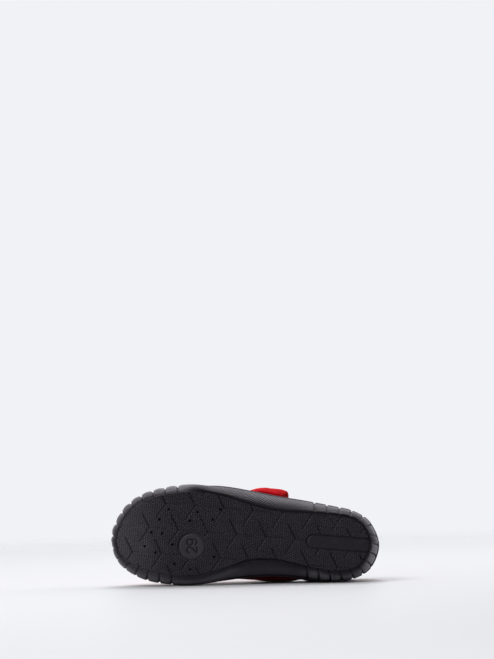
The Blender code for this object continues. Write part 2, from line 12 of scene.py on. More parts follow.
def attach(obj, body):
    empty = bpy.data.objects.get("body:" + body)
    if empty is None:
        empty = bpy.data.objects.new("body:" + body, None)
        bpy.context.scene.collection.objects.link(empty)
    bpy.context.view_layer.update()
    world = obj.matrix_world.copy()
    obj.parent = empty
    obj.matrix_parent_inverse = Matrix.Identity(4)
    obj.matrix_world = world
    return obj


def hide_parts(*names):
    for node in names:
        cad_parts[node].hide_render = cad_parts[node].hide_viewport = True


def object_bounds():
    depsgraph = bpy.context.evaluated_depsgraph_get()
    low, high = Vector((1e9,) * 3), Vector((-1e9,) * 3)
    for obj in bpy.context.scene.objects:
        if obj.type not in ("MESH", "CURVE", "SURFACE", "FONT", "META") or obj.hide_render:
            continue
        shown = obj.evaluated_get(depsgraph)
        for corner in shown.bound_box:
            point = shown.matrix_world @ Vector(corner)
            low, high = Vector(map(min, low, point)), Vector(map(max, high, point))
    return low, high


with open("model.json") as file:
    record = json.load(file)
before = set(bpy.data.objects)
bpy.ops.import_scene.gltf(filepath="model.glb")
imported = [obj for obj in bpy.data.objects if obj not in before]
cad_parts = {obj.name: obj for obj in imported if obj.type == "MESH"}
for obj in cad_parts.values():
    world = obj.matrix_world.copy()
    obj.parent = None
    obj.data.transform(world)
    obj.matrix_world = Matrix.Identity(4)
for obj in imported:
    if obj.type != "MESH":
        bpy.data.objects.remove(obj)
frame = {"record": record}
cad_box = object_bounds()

# A millimetre in metres, the gap between pieces in mm, and the steps that the curves are worked out with.
MM = 0.001
SMALL = 1e-9
GAP = 0.3
STATION_STEP = 0.02
GIRTH_STEP = 0.01
CURVE_SAMPLES = 160
WELD = 1e-7

# Where the forefoot mount lies on the shoe's own axes: along from the heel, across from the medial side.
FOREFOOT_SPOT = (119.545, 27.888)

# The last and the sole, as in the part's source: all in mm on the shoe's axes, a row for each station.
SOLE_COLUMNS = ("tread_along", "tread_medial", "tread_lateral", "rim_along", "rim_medial", "rim_lateral")
SOLE_STATIONS = (
    (194.2, 32.6, 32.6, 199.1, 34.5, 34.5),
    (191.4, 23.4, 43.2, 196.5, 22.0, 47.4),
    (184.3, 16.2, 54.6, 188.7, 12.5, 59.7),
    (172.5, 10.2, 62.7, 174.2, 4.5, 69.0),
    (154.5, 6.1, 67.0, 155.0, 0.5, 73.9),
    (136.0, 6.0, 68.0, 136.0, 0.0, 75.0),
    (116.5, 10.4, 64.6, 116.0, 2.5, 74.4),
    (97.0, 16.8, 58.0, 96.0, 4.5, 70.8),
    (77.0, 16.8, 52.6, 76.0, 4.9, 66.3),
    (56.5, 11.4, 50.2, 56.0, 3.0, 62.7),
    (35.0, 6.9, 48.3, 34.0, 0.4, 58.2),
    (21.0, 8.4, 45.6, 18.0, 2.8, 54.1),
    (12.4, 15.2, 39.6, 5.5, 11.0, 45.4),
    (7.8, 27.8, 27.8, -0.8, 28.0, 28.0),
)
LAST_COLUMNS = ("ridge_along", "ridge_across", "ridge_up", "fullness", "swell_medial", "swell_lateral",
                "swell_up", "topline_up")
LAST_STATIONS = (
    (174.0, 35.0, 38.0, 2.40, 1.8, 1.8, 26.0, 38.0),
    (172.0, 35.2, 38.3, 2.40, 1.8, 1.8, 26.0, 38.3),
    (167.0, 35.6, 39.0, 2.40, 1.8, 2.0, 25.0, 39.0),
    (158.0, 36.2, 40.5, 2.35, 1.6, 2.4, 25.0, 40.5),
    (145.5, 36.6, 43.2, 2.30, 1.4, 2.6, 25.0, 43.2),
    (131.0, 36.4, 47.0, 2.25, 1.4, 3.2, 26.0, 47.0),
    (114.5, 35.4, 50.6, 2.20, 1.8, 3.8, 27.0, 50.6),
    (97.0, 34.2, 54.0, 2.25, 4.6, 5.2, 28.0, 51.0),
    (79.0, 33.0, 57.5, 2.35, 6.8, 5.4, 29.0, 46.0),
    (61.0, 32.0, 62.5, 2.25, 3.2, 3.2, 29.0, 42.0),
    (42.0, 31.2, 69.0, 2.05, 0.3, 2.2, 28.0, 43.0),
    (30.0, 30.0, 75.0, 2.05, 0.4, 1.8, 28.0, 47.0),
    (25.0, 28.6, 78.0, 2.10, 1.6, 1.8, 28.0, 51.0),
    (23.5, 28.0, 79.0, 2.10, 2.2, 2.2, 28.0, 52.5),
)
LAST_STATION = len(SOLE_STATIONS) - 1
ROUND = 2 * LAST_STATION
THROAT_FRONT = 6.0
THROAT_BACK = 7.0
SIDE_VIEW_COLUMNS = ("along", "floor_up", "wall_top")
SIDE_VIEW = (
    (0.0, 9.4, 18.5),
    (25.0, 9.2, 17.6),
    (60.0, 8.8, 15.8),
    (95.0, 7.6, 14.6),
    (125.0, 6.6, 14.4),
    (155.0, 6.4, 15.0),
    (180.0, 7.6, 16.8),
    (198.0, 9.4, 19.0),
)
TOE_SPRING_FROM = 158.0
TOE_SPRING = 5.0
ARCH_FROM = 54.0
ARCH_TO = 106.0
ARCH_RISE = 1.4
HEEL_BEVEL_FROM = 14.0
HEEL_BEVEL = 1.6
WALL_COLUMNS = ("share", "rise", "waist_share", "waist_rise", "out", "waist_out", "lift", "notch_depth",
                "bead_notch", "notch_lift")
WALL_SECTION = (
    (0.00, 0.00, 0.00, 0.00, 0.0, 0.0, 0.0, 0.0, 0.0, 0.0),
    (0.00, 0.00, 0.00, 0.00, 0.1, 0.0, 1.0, 0.0, 0.0, 0.0),
    (0.00, 0.00, 0.00, 0.00, 1.1, 0.0, 1.0, 0.0, 0.0, 0.0),
    (0.00, 0.00, 0.00, 0.00, 1.6, 0.0, 0.3, 0.3, 0.0, 0.5),
    (0.72, 0.09, 0.50, 0.22, 0.0, -0.3, 0.0, 1.5, 0.0, 0.0),
    (0.95, 0.28, 0.84, 0.48, 0.0, -0.8, 0.0, 1.5, 0.0, 0.0),
    (1.00, 0.52, 1.00, 0.62, 0.0, -1.5, 0.0, 1.5, 0.0, 0.0),
    (1.00, 1.00, 1.00, 1.00, -0.2, -1.4, -4.2, 1.1, 0.2, 0.0),
    (1.00, 1.00, 1.00, 1.00, -1.0, -1.0, -3.5, 0.0, 0.5, 0.0),
    (1.00, 1.00, 1.00, 1.00, -0.2, 0.0, -2.8, 0.0, 1.3, 0.0),
    (1.00, 1.00, 1.00, 1.00, -0.3, 0.0, -0.8, 0.0, 1.2, 0.0),
    (1.00, 1.00, 1.00, 1.00, -0.9, 0.0, 0.0, 0.0, 0.8, 0.0),
    (1.00, 1.00, 1.00, 1.00, -2.6, 0.0, 0.0, 0.0, 0.0, 0.0),
)
HEEL_BAND_TO = 3.0
HEEL_BAND_FADE = 7.0
BLOCK_STRIP = 5.5
WAIST_STRIP = 9.5
CUP_INSET = 3.0
LUG_NOTCHES = {
    1: {"toe": (3.6, 9.6, 8), "heel": (6.4, 9.6, 7)},
    -1: {"toe": (5.6, 9.35, 7), "heel": (1.2, 8.6, 9)},
}
NOTCH_HALF = 0.7
LUG_CROWN = {1: 0.7, -1: 0.2}
LUG_CROWN_SPAN = 9.3
SOLE_PITCH = 0.42
TREAD_COLUMNS = 150
CUP_COLUMNS = 4

# Painted shade in the grooves at the tread's border and under the bead: rows on the side's section, and share
# of shade.
BORDER_ROWS = (1, 4)
BORDER_SHADE = {1: 0.3, -1: 0.12}
BEAD_ROWS = (14, 17)
BEAD_SHADE = 0.9

# How much fainter the painted shade in the lateral notches is under the heel.
NOTCH_SHADE_FAINT = 0.5

# Stretches of the side by their ends: place along the shoe, and mm of fade, negative towards the heel.
STRETCH_ENDS = {
    "lateral_waist": ((48.0, 14.0), (150.0, -24.0)),
    "medial_waist": ((48.0, 14.0), (118.0, -24.0)),
    "tip": ((135.0, 35.0),),
    "heel": ((62.0, -16.0),),
    "back": ((20.0, -15.0),),
}

# Middle and half length of the hump at the ball.
BALL = (148.0, 17.0)

# Dust and painted light on each side: how pale, and the shares of its height where it starts and over which it
# comes in.
# "all" holds everywhere, and each stretch adds its amounts to that.
# Painted light: the lateral side, its ball and the walls' tops are paler where the light falls on them.
WALL_DUST_AND_LIGHT = {
    1: {"all": (2.6, 0.035, 0.14), "lateral_waist": (-0.4, 0.06, 0.24), "tip": (-0.6, -0.065, 0.0),
        "ball": (0.6, -0.12, 0.0), "heel": (-0.3, 0.085, 0.22), "back": (1.1, 0.0, 0.0)},
    -1: {"all": (1.25, 0.02, 0.14), "medial_waist": (-0.7, 0.0, 0.24), "tip": (0.2, -0.04, 0.0),
         "heel": (0.2, 0.0, 0.0), "back": (1.1, 0.0, 0.0)},
}
WALL_DUST_AND_LIGHT_LEAST = 0.06

# Ribs on the side: the shares of its height where they start and end, each with its fade.
RIBS_FROM = (0.06, 0.08)
RIBS_TO = (0.74, 0.05)

# How clear the ribs are everywhere, and what the lateral waist adds.
RIBS_CLEAR = {1: 0.4, -1: 0.15}
RIBS_WAIST = {1: 0.6, -1: 0.0}

# The tread's relief: stars on a lattice of triangles, a round boss with its size in figures, and a long bar.
STAR_EDGE = 21.8
STAR_TURN = 5.7
STAR_FIRST = (170.5, 41.7)
STAR_ARM = 12.8
STAR_REACH = STAR_ARM / STAR_EDGE
STAR_TIP = 0.03
STAR_ROWS = range(-3, 4)
STAR_COLUMNS = range(-4, 12)
STAR_HALF = 1.0
STAR_DEPTH = 0.3
STAR_CUT = 0.4
STAR_CLEAR = (0.7, 1.0, 1.0)
BOSS = (139.0, 27.2)
BOSS_RADIUS = 9.8
BAR_FRONT = (48.8, 29.0)
BAR_BACK = (7.0, 24.8)
BAR_HALF_WIDTH = 4.9
GROOVE_HALF = 0.45
GROOVE_DEPTH = 0.8
# Painted shade in the sunk grooves round boss and bar, as a share.
PANEL_GROOVE_SHADE = 0.25
PANEL_EDGE = 0.3
PANEL_CLEAR = 1.2
BAR_PLAIN = 0.35
FIGURE_WIDTH = 4.4
FIGURE_HEIGHT = 7.4
FIGURE_GAP = 1.5
FIGURE_STROKE = 0.4
FIGURE_DEPTH = 0.5
EDGE_SOFT = 0.4
KNURL_PITCH = 1.6
KNURL_DEPTH = 0.15
RIB_PITCH = 1.8
RIB_SLANT = 1.3
RIB_DEPTH = 0.24
PINHOLES = (
    (156.0, 55.3), (134.4, 52.8), (117.3, 54.3), (162.9, 47.9), (140.1, 46.2), (123.3, 46.6), (169.0, 38.1),
    (161.0, 37.2), (174.2, 27.9), (166.2, 23.0), (153.6, 28.7), (122.8, 18.6), (152.3, 14.2), (140.6, 9.9),
)
PINHOLE_RADIUS = 0.65
PINHOLE_DEPTH = 1.4
SCUFF = (174.0, 27.6)
SCUFF_CORE = 2.0
SCUFF_RADIUS = 6.5

# The rubber: its gloss, its colours clean, pale with dust and painted light, and in painted shade, and how
# much each kind of dust or painted light adds.
TREAD_GLOSS = 0.275
WALL_GLOSS = 0.12
RUBBER_ROUGH = 0.42
RUBBER_TINT = (0.95, 0.88, 1.0, 1.0)
RUBBER_BLACK = (0.0095, 0.0082, 0.0108, 1.0)
RUBBER_DUST_AND_LIGHT = (0.180, 0.169, 0.192, 1.0)
# Painted shade for the grooves, stars, notches and pinholes.
RUBBER_PAINTED_SHADE = (0.0010, 0.0009, 0.0011, 1.0)
CLOUD_SIZE = 9.0
GRAIN_SIZE = 1.1
# Painted light: the tread turns paler towards the toe.
TOE_PAINTED_LIGHT = (145.0, 200.0)
# Cloud and scuff are dust and smooth a paler tone; toe, knurl, wall, grain and rib add painted light, paler on
# crests and tops.
DUST_AND_LIGHT = {"cloud": 0.05, "scuff": 0.2, "smooth": 0.15, "knurl": 0.028, "toe": 0.22, "wall": 0.14, "grain": 0.34,
        "rib": 0.09}
# How much painted shade the grooves and the stars take.
GROOVE_PAINTED_SHADE = 0.8
STAR_PAINTED_SHADE = 0.7

# The upper: its wall, the padded collar with its puff by mm below the edge, and the rows of its mesh.
UPPER_WALL = 2.4
COLLAR_WALL = 4.6
COLLAR_FROM_STATION = 8.5
COLLAR_OVER_STATIONS = 0.9
COLLAR_DEPTH = 11.0
COLLAR_LEAD = 2.0
COLLAR_OVER = 4.0
COLLAR_PUFF = (
    (0.0, 0.3), (1.2, 0.65), (3.0, 1.1), (5.0, 1.4), (7.0, 1.3), (9.0, 0.95), (10.3, 0.35), (11.0, 0.0),
)
LOOSE_OVER_GIRTH = 0.25
FEATHER_INSET = CUP_INSET + GAP
RIBS_PER_STATION = 13
THROAT_RIBS = (6.015, 6.04, 6.12, 6.18, 6.27)
BODY_ROWS = 34
COLLAR_ROWS = 14
LIP_STEPS = 6
BINDING_ROWS = 3

# Numbers of the upper's finishes on its faces.
FELT, LINING, BINDING = range(3)

# Soft troughs pressed into the felt: where, how long round the foot, how wide, and how deep in mm.
CREASE_COLUMNS = ("station", "girth", "length", "width", "slant", "depth")
CREASES = (
    (4.95, 0.10, 0.42, 0.16, 0.25, 0.9),
    (5.45, -0.12, 0.34, 0.14, -0.30, 0.7),
    (4.55, -0.30, 0.26, 0.13, 0.35, 0.5),
    (8.90, 0.66, 0.20, 0.20, 0.60, 0.8),
    (8.80, -0.66, 0.20, 0.20, -0.50, 0.8),
    (11.10, 0.70, 0.16, 0.22, 0.40, 0.6),
    (11.40, -0.72, 0.16, 0.22, -0.40, 0.6),
    (2.20, 0.45, 0.30, 0.30, 0.20, 0.4),
)
CREASE_BANK = 0.45
CREASE_BANK_OFF = 1.7
CREASE_BANK_WIDTH = 0.8

# Side seam where the vamp meets the quarters: its station at the throat and at the sole.
SEAM_TOP = 6.62
SEAM_FOOT = 5.72
SEAM_STRAIGHT_GIRTH = 0.25
SEAM_HALF = 0.03
SEAM_DEPTH = 0.45

# The felts' two shades, and the painted shade that darkens them where they run into the sole and near the
# floor.
FELT_SHADES = {
    "upper": ((0.28, 0.002, 0.004, 1.0), (0.56, 0.006, 0.011, 1.0)),
    "tongue": ((0.26, 0.002, 0.004, 1.0), (0.52, 0.005, 0.010, 1.0)),
    # Painted light: the strap's felt is a paler copy of the upper's, for its lit free end.
    "strap": ((0.34, 0.001, 0.004, 1.0), (0.66, 0.005, 0.011, 1.0)),
}
FELT_DRIFT = 2.4
FELT_BEND = 1.2
HAIR_SIZE = 0.42
CROSS_HAIR_SIZE = 0.5
MOTTLE_SIZE = 5.5
FELT_PAINTED_SHADE = (0.004, 0.0006, 0.0008, 1.0)
FELT_PAINTED_SHADE_SHARE = 0.98
STRAP_NAP = 0.8
CREVICE_HEIGHT = 5.0
CREVICE_MEDIAL = 9.0
CREVICE_MEDIAL_FROM = 30.0
CREVICE_MEDIAL_OVER = 20.0
FLOOR_SHADE_FROM = 1.5
FLOOR_SHADE_HEIGHT = 4.5

# The insole in the cup.
INSOLE_THICKNESS = 3.5
INSOLE_DISH = 1.2
INSOLE_INSET = FEATHER_INSET + UPPER_WALL + 0.5
INSOLE_END = 0.08
INSOLE_GRID = (150, 44)
INSOLE_PITCH = (1.3, 1.3)
INSOLE_ROUNDING = 1.2

# The tongue under the throat, by stations along the foot and girths round it.
TONGUE_FROM_STATION = 5.5
TONGUE_TO_STATION = 8.75
TONGUE_HALF_GIRTH = 0.40
TONGUE_END_SHARE = 0.62
TONGUE_END_ROUNDING = 0.5
TONGUE_THICKNESS = 3.6
TONGUE_CROWN = 1.8
TONGUE_CROWN_FROM = 6.3
TONGUE_CROWN_OVER = 0.7
TONGUE_CLEARANCE = UPPER_WALL + 1.3
TONGUE_GRID = (84, 50)
TONGUE_PITCH = (0.72, 0.95)
TONGUE_ROUNDING = 1.6
TONGUE_SEAM_INSET = 0.86
TONGUE_SEAM_DIP = 0.25
SEAM_DIP_HALF = 0.05

# The strap over the instep, from its sewn medial end to its free lateral end.
STRAP_STATION = 7.7
STRAP_HALF_WIDTH = 0.74
STRAP_MEDIAL_GIRTH = -0.57
STRAP_LATERAL_GIRTH = 0.90
STRAP_THICKNESS = 2.6
STRAP_LIFT = 0.5
STRAP_TAB_LIFT = 3.3
STRAP_TAB_FROM = 0.26
STRAP_TAB_TO = 0.56
STRAP_TAB_BACK = 0.82
STRAP_END_SHARE = 0.55
STRAP_CORNER = 0.16
STRAP_FRONT_SLOPE = 0.95
STRAP_EDGE_FROM = 0.6
STRAP_EDGE_THINNER = 1.1
STRAP_BACK_THINNER = 0.9
STRAP_BACK_RISE = 1.9
STRAP_GRID = (170, 54)
STRAP_PITCH = (0.62, 0.5)
STRAP_ROUNDING = 1.4
STRAP_UNDER_ROUNDING = 0.2
STRAP_SEAM_INSET = 0.80
STRAP_SEAM_DIP = 0.35
STRAP_SEAM_END = 0.1
STRAP_SEAM_FADE = 0.08

# The closure's two tapes, between the strap's free end and the upper.
PATCH_THICKNESS = 1.1
LOOP_LIFT = 0.35
HOOK_LIFT = LOOP_LIFT + PATCH_THICKNESS + GAP
LOOP_PATCH = {"front": 7.46, "back": 8.28, "high": 0.60, "low": 0.80}
HOOK_PATCH = {"front": 7.50, "back": 8.24, "high": 0.61, "low": 0.79}
PATCH_GRID = (48, 36)
PATCH_PITCH = (0.48, 0.4)
PATCH_ROUNDING = 0.45

# Finishes of the closure's tapes: size and depth of their tufts in mm, and their two shades.
TAPE_FINISHES = {
    "loop_pile": (0.7, 0.5, (0.008, 0.008, 0.009, 1.0), (0.045, 0.043, 0.046, 1.0)),
    "hook_rows": (1.0, 0.7, (0.006, 0.006, 0.007, 1.0), (0.035, 0.034, 0.036, 1.0)),
}

# Lining, binding and thread: their loops, ribs or twist in mm, and their two shades.
LINING_LOOP = (1.1, 1.3)
LINING_SHADES = ((0.030, 0.030, 0.034, 1.0), (0.085, 0.083, 0.088, 1.0))
BINDING_RIB = 0.75
BINDING_SHADES = ((0.10, 0.004, 0.006, 1.0), (0.27, 0.008, 0.012, 1.0))
THREAD_TWIST = 0.42
THREAD_SHADES = ((0.24, 0.004, 0.007, 1.0), (0.55, 0.012, 0.02, 1.0))

# One stitch, in mm.
STITCH_PITCH = 3.1
STITCH_LENGTH = 2.3
STITCH_RADIUS = 0.33
STITCH_SIDES = 7
STITCH_FLAT = 0.8

# Rings of one stitch: its share along the stitch, how thick it is there, and how far it dips.
STITCH_RINGS = (
    (-0.5, 0.35, -0.5), (-0.36, 0.85, -0.12), (-0.15, 1.0, 0.0),
    (0.15, 1.0, 0.0), (0.36, 0.85, -0.12), (0.5, 0.35, -0.5),
)

# Rows of stitches beside the side seams, along the opening's edge and on the strap.
SEAM_ROW_OFFSETS = (-0.10, 0.10)
SEAM_ROW_FROM = 0.04
SEAM_ROW_TO = 0.86
SEAM_ROW_POINTS = 120
EDGE_ROW_FROM = 0.25
EDGE_ROW_BELOW = 4.2
EDGE_ROW_POINTS = 240
ROW_RISE = 0.1
COLLAR_ROW_RISE = 1.15
STRAP_ROW_POINTS = 160
STRAP_ROW_SINK = 0.12
STRAP_BOX_FROM = 0.03
STRAP_BOX_TO = 0.17
STRAP_END_ROW = 0.14
ACROSS_ROW_POINTS = 80
ACROSS_ROW_RISE = 0.08

# The picture: the frame in pixels, the lens, and where the shoe's middle shows in it.
FRAME_WIDTH = 494
FRAME_HEIGHT = 659
SENSOR = 36.0
LENS = 135.0
CAMERA_DISTANCE = 1.868
CAMERA_ELEVATION = 2.0
CAMERA_ROLL = -1.2
SHOE_MIDDLE_PIXEL = (245.5, 532.9)

# The studio: a floor that fades out, a surround bright on one side, and soft boxes by place, size and power.
FLOOR_RADIUS = 1.6
FLOOR_FADE = (0.35, 1.1)
FLOOR_COLOUR = (0.585, 0.585, 0.605, 1.0)
SURROUND_TOWARDS = (0.0, 0.9, 0.43)
SURROUND_RISE = {"From Min": -0.2, "From Max": 0.8, "To Min": 0.035, "To Max": 0.95}
SURROUND_COLOUR = (0.97, 0.98, 1.0, 1.0)
BACKDROP_COLOUR = (0.880, 0.888, 0.921, 1.0)
SOFT_BOXES = {
    "top": ((0.0, 0.55, 1.1), 0.6, 8.0),
    "left": ((-0.7, -0.4, 1.1), 0.8, 10.0),
    "low": ((-0.8, -0.9, 0.3), 0.8, 2.3),
    "right": ((0.9, 0.45, 0.5), 0.6, 3.0),
}


def column(table, names, name):
    return np.array([row[names.index(name)] for row in table])


def sole(name):
    return column(SOLE_STATIONS, SOLE_COLUMNS, name)


def last(name):
    return column(LAST_STATIONS, LAST_COLUMNS, name)


def ring(lateral, medial):
    """A value at every station round the shoe: toe tip, lateral side, heel, and back by the medial side."""
    return np.concatenate([lateral, medial[-2:0:-1]])


def alike(values):
    """The same values on both sides."""
    return ring(values, values)


def outline(edge):
    """Plan of the sole's tread or rim, a row for each station round the shoe."""
    across = ring(sole(edge + "_lateral"), sole(edge + "_medial"))
    return np.stack([alike(sole(edge + "_along")), across], axis=1)


RIM = outline("rim")
TREAD = outline("tread")
RIDGE = np.stack([alike(last(name)) for name in ("ridge_along", "ridge_across", "ridge_up")], axis=1)
RIDGE_SLOPE = alike(np.gradient(last("ridge_up"), last("ridge_along")))
FULLNESS = alike(last("fullness"))
SWELL = ring(last("swell_lateral"), last("swell_medial"))
SWELL_UP = alike(last("swell_up"))
TOPLINE_UP = alike(last("topline_up"))


def round_curve(rows, t):
    """Smooth closed curve through one row per station, at t stations from the toe tip by the lateral side."""
    t = np.asarray(t, dtype=float)
    i = np.floor(t).astype(int)
    f = t - i
    p0, p1, p2, p3 = (rows[(i + step) % ROUND] for step in (-1, 0, 1, 2))
    if rows.ndim > 1:
        f = f[..., None]
    return p1 + 0.5 * f * (p2 - p0 + f * (2 * p0 - 5 * p1 + 4 * p2 - p3 + f * (3 * (p1 - p2) + p3 - p0)))


def outward(t):
    """Unit direction in plan, square to the rim and away from the shoe."""
    t = np.asarray(t)
    run = round_curve(RIM, t + STATION_STEP) - round_curve(RIM, t - STATION_STEP)
    run /= np.linalg.norm(run, axis=-1, keepdims=True)
    return np.stack([run[..., 1], -run[..., 0]], axis=-1)


def side_view(name, along):
    """Smooth height from the side view's table."""
    knots = column(SIDE_VIEW, SIDE_VIEW_COLUMNS, "along")
    values = column(SIDE_VIEW, SIDE_VIEW_COLUMNS, name)
    slopes = np.gradient(values, knots)
    along = np.clip(along, knots[0], knots[-1])
    i = np.clip(np.searchsorted(knots, along, side="right") - 1, 0, len(knots) - 2)
    span = knots[i + 1] - knots[i]
    f = (along - knots[i]) / span
    rest = 1 - f
    ends = values[i] * rest * rest * (1 + 2 * f) + values[i + 1] * f * f * (3 - 2 * f)
    return ends + span * f * rest * (slopes[i] * rest - slopes[i + 1] * f)


def tread_up(along):
    """Underside: flat at heel and forefoot, sprung at the toe, arched at the waist, bevelled at the back."""
    spring = np.clip((along - TOE_SPRING_FROM) / (RIM[0, 0] - TOE_SPRING_FROM), 0, 1)
    arch = np.clip((along - ARCH_FROM) / (ARCH_TO - ARCH_FROM), 0, 1)
    bevel = np.clip((HEEL_BEVEL_FROM - along) / HEEL_BEVEL_FROM, 0, 1)
    return TOE_SPRING * spring ** 2 + ARCH_RISE * np.sin(math.pi * arch) ** 2 + HEEL_BEVEL * bevel ** 2


def smooth_step(value):
    value = np.clip(value, 0, 1)
    return value * value * (3 - 2 * value)


def rounded_end(from_end, end_share):
    """Share of the full width, down to end_share at the end itself, as a quarter ellipse."""
    return end_share + (1 - end_share) * np.sqrt(1 - (1 - from_end) ** 2)


def last_face(station, girth):
    """Outer face of the upper; girth goes from -1, medial edge, over 0, the ridge, to 1, lateral edge."""
    station, girth = np.broadcast_arrays(np.asarray(station, dtype=float), np.asarray(girth, dtype=float))
    t = np.where(girth < 0, -station, station)
    normal = outward(t)
    base = round_curve(RIM, t) - FEATHER_INSET * normal
    ridge = round_curve(RIDGE, t)
    seat = side_view("floor_up", base[..., 0]) + GAP
    wall_top = side_view("wall_top", base[..., 0])
    power = 2 / round_curve(FULLNESS, t)
    turn = (1 - np.minimum(np.abs(girth), 1.0)) * math.pi / 2
    reach = np.clip(np.cos(turn), 0, 1) ** power
    up = seat + (ridge[..., 2] - seat) * np.sin(turn) ** power
    climb = np.maximum(up - wall_top, 0) / (round_curve(SWELL_UP, t) - wall_top)
    swell = round_curve(SWELL, t) * climb * np.exp(1 - climb) * reach
    plan = ridge[..., :2] + (base - ridge[..., :2]) * reach[..., None] + normal * swell[..., None]
    up = up + round_curve(RIDGE_SLOPE, t) * (plan[..., 0] - ridge[..., 0]) * (1 - reach) ** 2
    return np.concatenate([plan, up[..., None]], axis=-1)


def face_normal(station, girth):
    """Outward unit normal of the last's face."""
    by_station = last_face(station + STATION_STEP, girth) - last_face(station - STATION_STEP, girth)
    by_girth = last_face(station, girth + GIRTH_STEP) - last_face(station, girth - GIRTH_STEP)
    normal = np.cross(by_girth, by_station)
    return normal / np.maximum(np.linalg.norm(normal, axis=-1, keepdims=True), SMALL)


def lifted(station, girth, lift):
    """The upper's face moved out along its own normal, or in where lift is negative."""
    station, girth, lift = np.broadcast_arrays(*(np.asarray(v, dtype=float) for v in (station, girth, lift)))
    return last_face(station, girth) + face_normal(station, girth) * lift[..., None]


def girth_at(station, side, height):
    """Girth, on one side, at which a rib reaches a height."""
    girths = np.linspace(0.0, 1.0, CURVE_SAMPLES)
    ups = last_face(np.full(girths.shape, station), side * girths)[:, 2]
    return float(np.interp(-height, -ups, girths))


def opening_girth(station, side):
    """Girth at which the throat and collar cut a rib, zero where the vamp is closed."""
    if station <= THROAT_FRONT:
        return 0.0
    open_station = max(station, THROAT_BACK)
    edge = girth_at(open_station, side, float(round_curve(TOPLINE_UP, open_station)))
    share = min((station - THROAT_FRONT) / (THROAT_BACK - THROAT_FRONT), 1.0)
    return edge * math.sqrt(1 - (1 - share) ** 2)


def shoe_matrix():
    """Where the shoe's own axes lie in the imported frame, from its forefoot mount."""
    mount = next(m for m in frame["record"]["mounts"] if m["name"] == "tread_forefoot")
    tilt = math.atan2(mount["axis"][2], -mount["axis"][1])
    turn = Matrix.Rotation(-tilt, 3, "X") @ Matrix(((-1, 0, 0), (0, 0, 1), (0, 1, 0)))
    spot = turn @ Vector((FOREFOOT_SPOT[0] * MM, FOREFOOT_SPOT[1] * MM, 0.0))
    return Matrix.Translation(Vector(mount["pos_m"]) - spot) @ turn.to_4x4()


SHOE = shoe_matrix()


class Tone:
    """A value inside a tree of nodes: sums and products of tones add the nodes that work them out."""

    def __init__(self, works, socket):
        self.works = works
        self.socket = socket

    def sum_up(self, operation, *values):
        return self.works.node("ShaderNodeMath", {"operation": operation}, dict(enumerate(values)))

    def __add__(self, other):
        return self.sum_up("ADD", self, other)

    def __radd__(self, other):
        return self.sum_up("ADD", other, self)

    def __sub__(self, other):
        return self.sum_up("SUBTRACT", self, other)

    def __rsub__(self, other):
        return self.sum_up("SUBTRACT", other, self)

    def __mul__(self, other):
        return self.sum_up("MULTIPLY", self, other)

    def __rmul__(self, other):
        return self.sum_up("MULTIPLY", other, self)

    def change(self, operation):
        """This tone put through a Math node of one value."""
        return self.sum_up(operation, self)

    def ripple(self, period):
        """Wave from -1 to 1 that repeats at each period."""
        return (self * (2 * math.pi / period)).change("SINE")

    def over(self, low, high):
        """Smooth rise from 0 at low to 1 at high."""
        sockets = {"Value": self, "From Min": low, "From Max": high}
        return self.works.node("ShaderNodeMapRange", {"interpolation_type": "SMOOTHSTEP"}, sockets)


class Workings:
    """A tree of nodes being filled."""

    def __init__(self, tree):
        self.tree = tree

    def node(self, kind, settings, sockets, out=0):
        """One output of a new node, whose settings are made first and whose sockets are then fed."""
        made = self.tree.nodes.new(kind)
        for name, value in settings.items():
            setattr(made, name, value)
        for key, value in sockets.items():
            self.feed(made.inputs[key], value)
        return Tone(self, made.outputs[out])

    def feed(self, socket, value):
        if isinstance(value, Tone):
            self.tree.links.new(value.socket, socket)
        else:
            socket.default_value = value


class Finish(Workings):
    """A surface being made: its material, and the tones that vary over it."""

    def __init__(self, name, **uniform):
        self.material = bpy.data.materials.new(name)
        self.material.use_nodes = True
        super().__init__(self.material.node_tree)
        self.shader = self.tree.nodes["Principled BSDF"]
        self.place = self.node("ShaderNodeTexCoord", {}, {}, "Object")
        self.wear(**uniform)

    def wear(self, **sockets):
        """Feeds the shader's own sockets."""
        for name, value in sockets.items():
            self.feed(self.shader.inputs[name.replace("_", " ")], value)

    def noise(self, size_mm, detail=3.0, rough=0.55, place=None):
        scale = 1 / (size_mm * MM)
        sockets = {"Vector": place or self.place, "Scale": scale, "Detail": detail, "Roughness": rough}
        return self.node("ShaderNodeTexNoise", {}, sockets)

    def cells(self, size_mm):
        return self.node("ShaderNodeTexVoronoi", {}, {"Vector": self.place, "Scale": 1 / (size_mm * MM)})

    def stretched(self, place, scale):
        """A place scaled along the shoe's axes, so that a grain runs along one of them."""
        return self.node("ShaderNodeMapping", {}, {"Vector": place, "Scale": scale})

    def axes(self):
        """Along, across and up on the shoe's own axes, in mm."""
        return [self.node("ShaderNodeSeparateXYZ", {}, {0: self.place}, name) * (1 / MM) for name in "XYZ"]

    def mask(self, name):
        """A value that a piece carries at its points."""
        return self.node("ShaderNodeAttribute", {"attribute_name": name}, {}, "Fac")

    def blend(self, share, first, second):
        """Colour between two others."""
        return self.node("ShaderNodeMix", {"data_type": "RGBA"}, {0: share, 6: first, 7: second}, 2)

    def relief(self, height, depth_mm, strength=1.0, under=None):
        """Bumps of a depth, on top of the relief under them."""
        sockets = {"Height": height, "Distance": depth_mm * MM, "Strength": strength}
        if under is not None:
            sockets["Normal"] = under
        return self.node("ShaderNodeBump", {}, sockets)


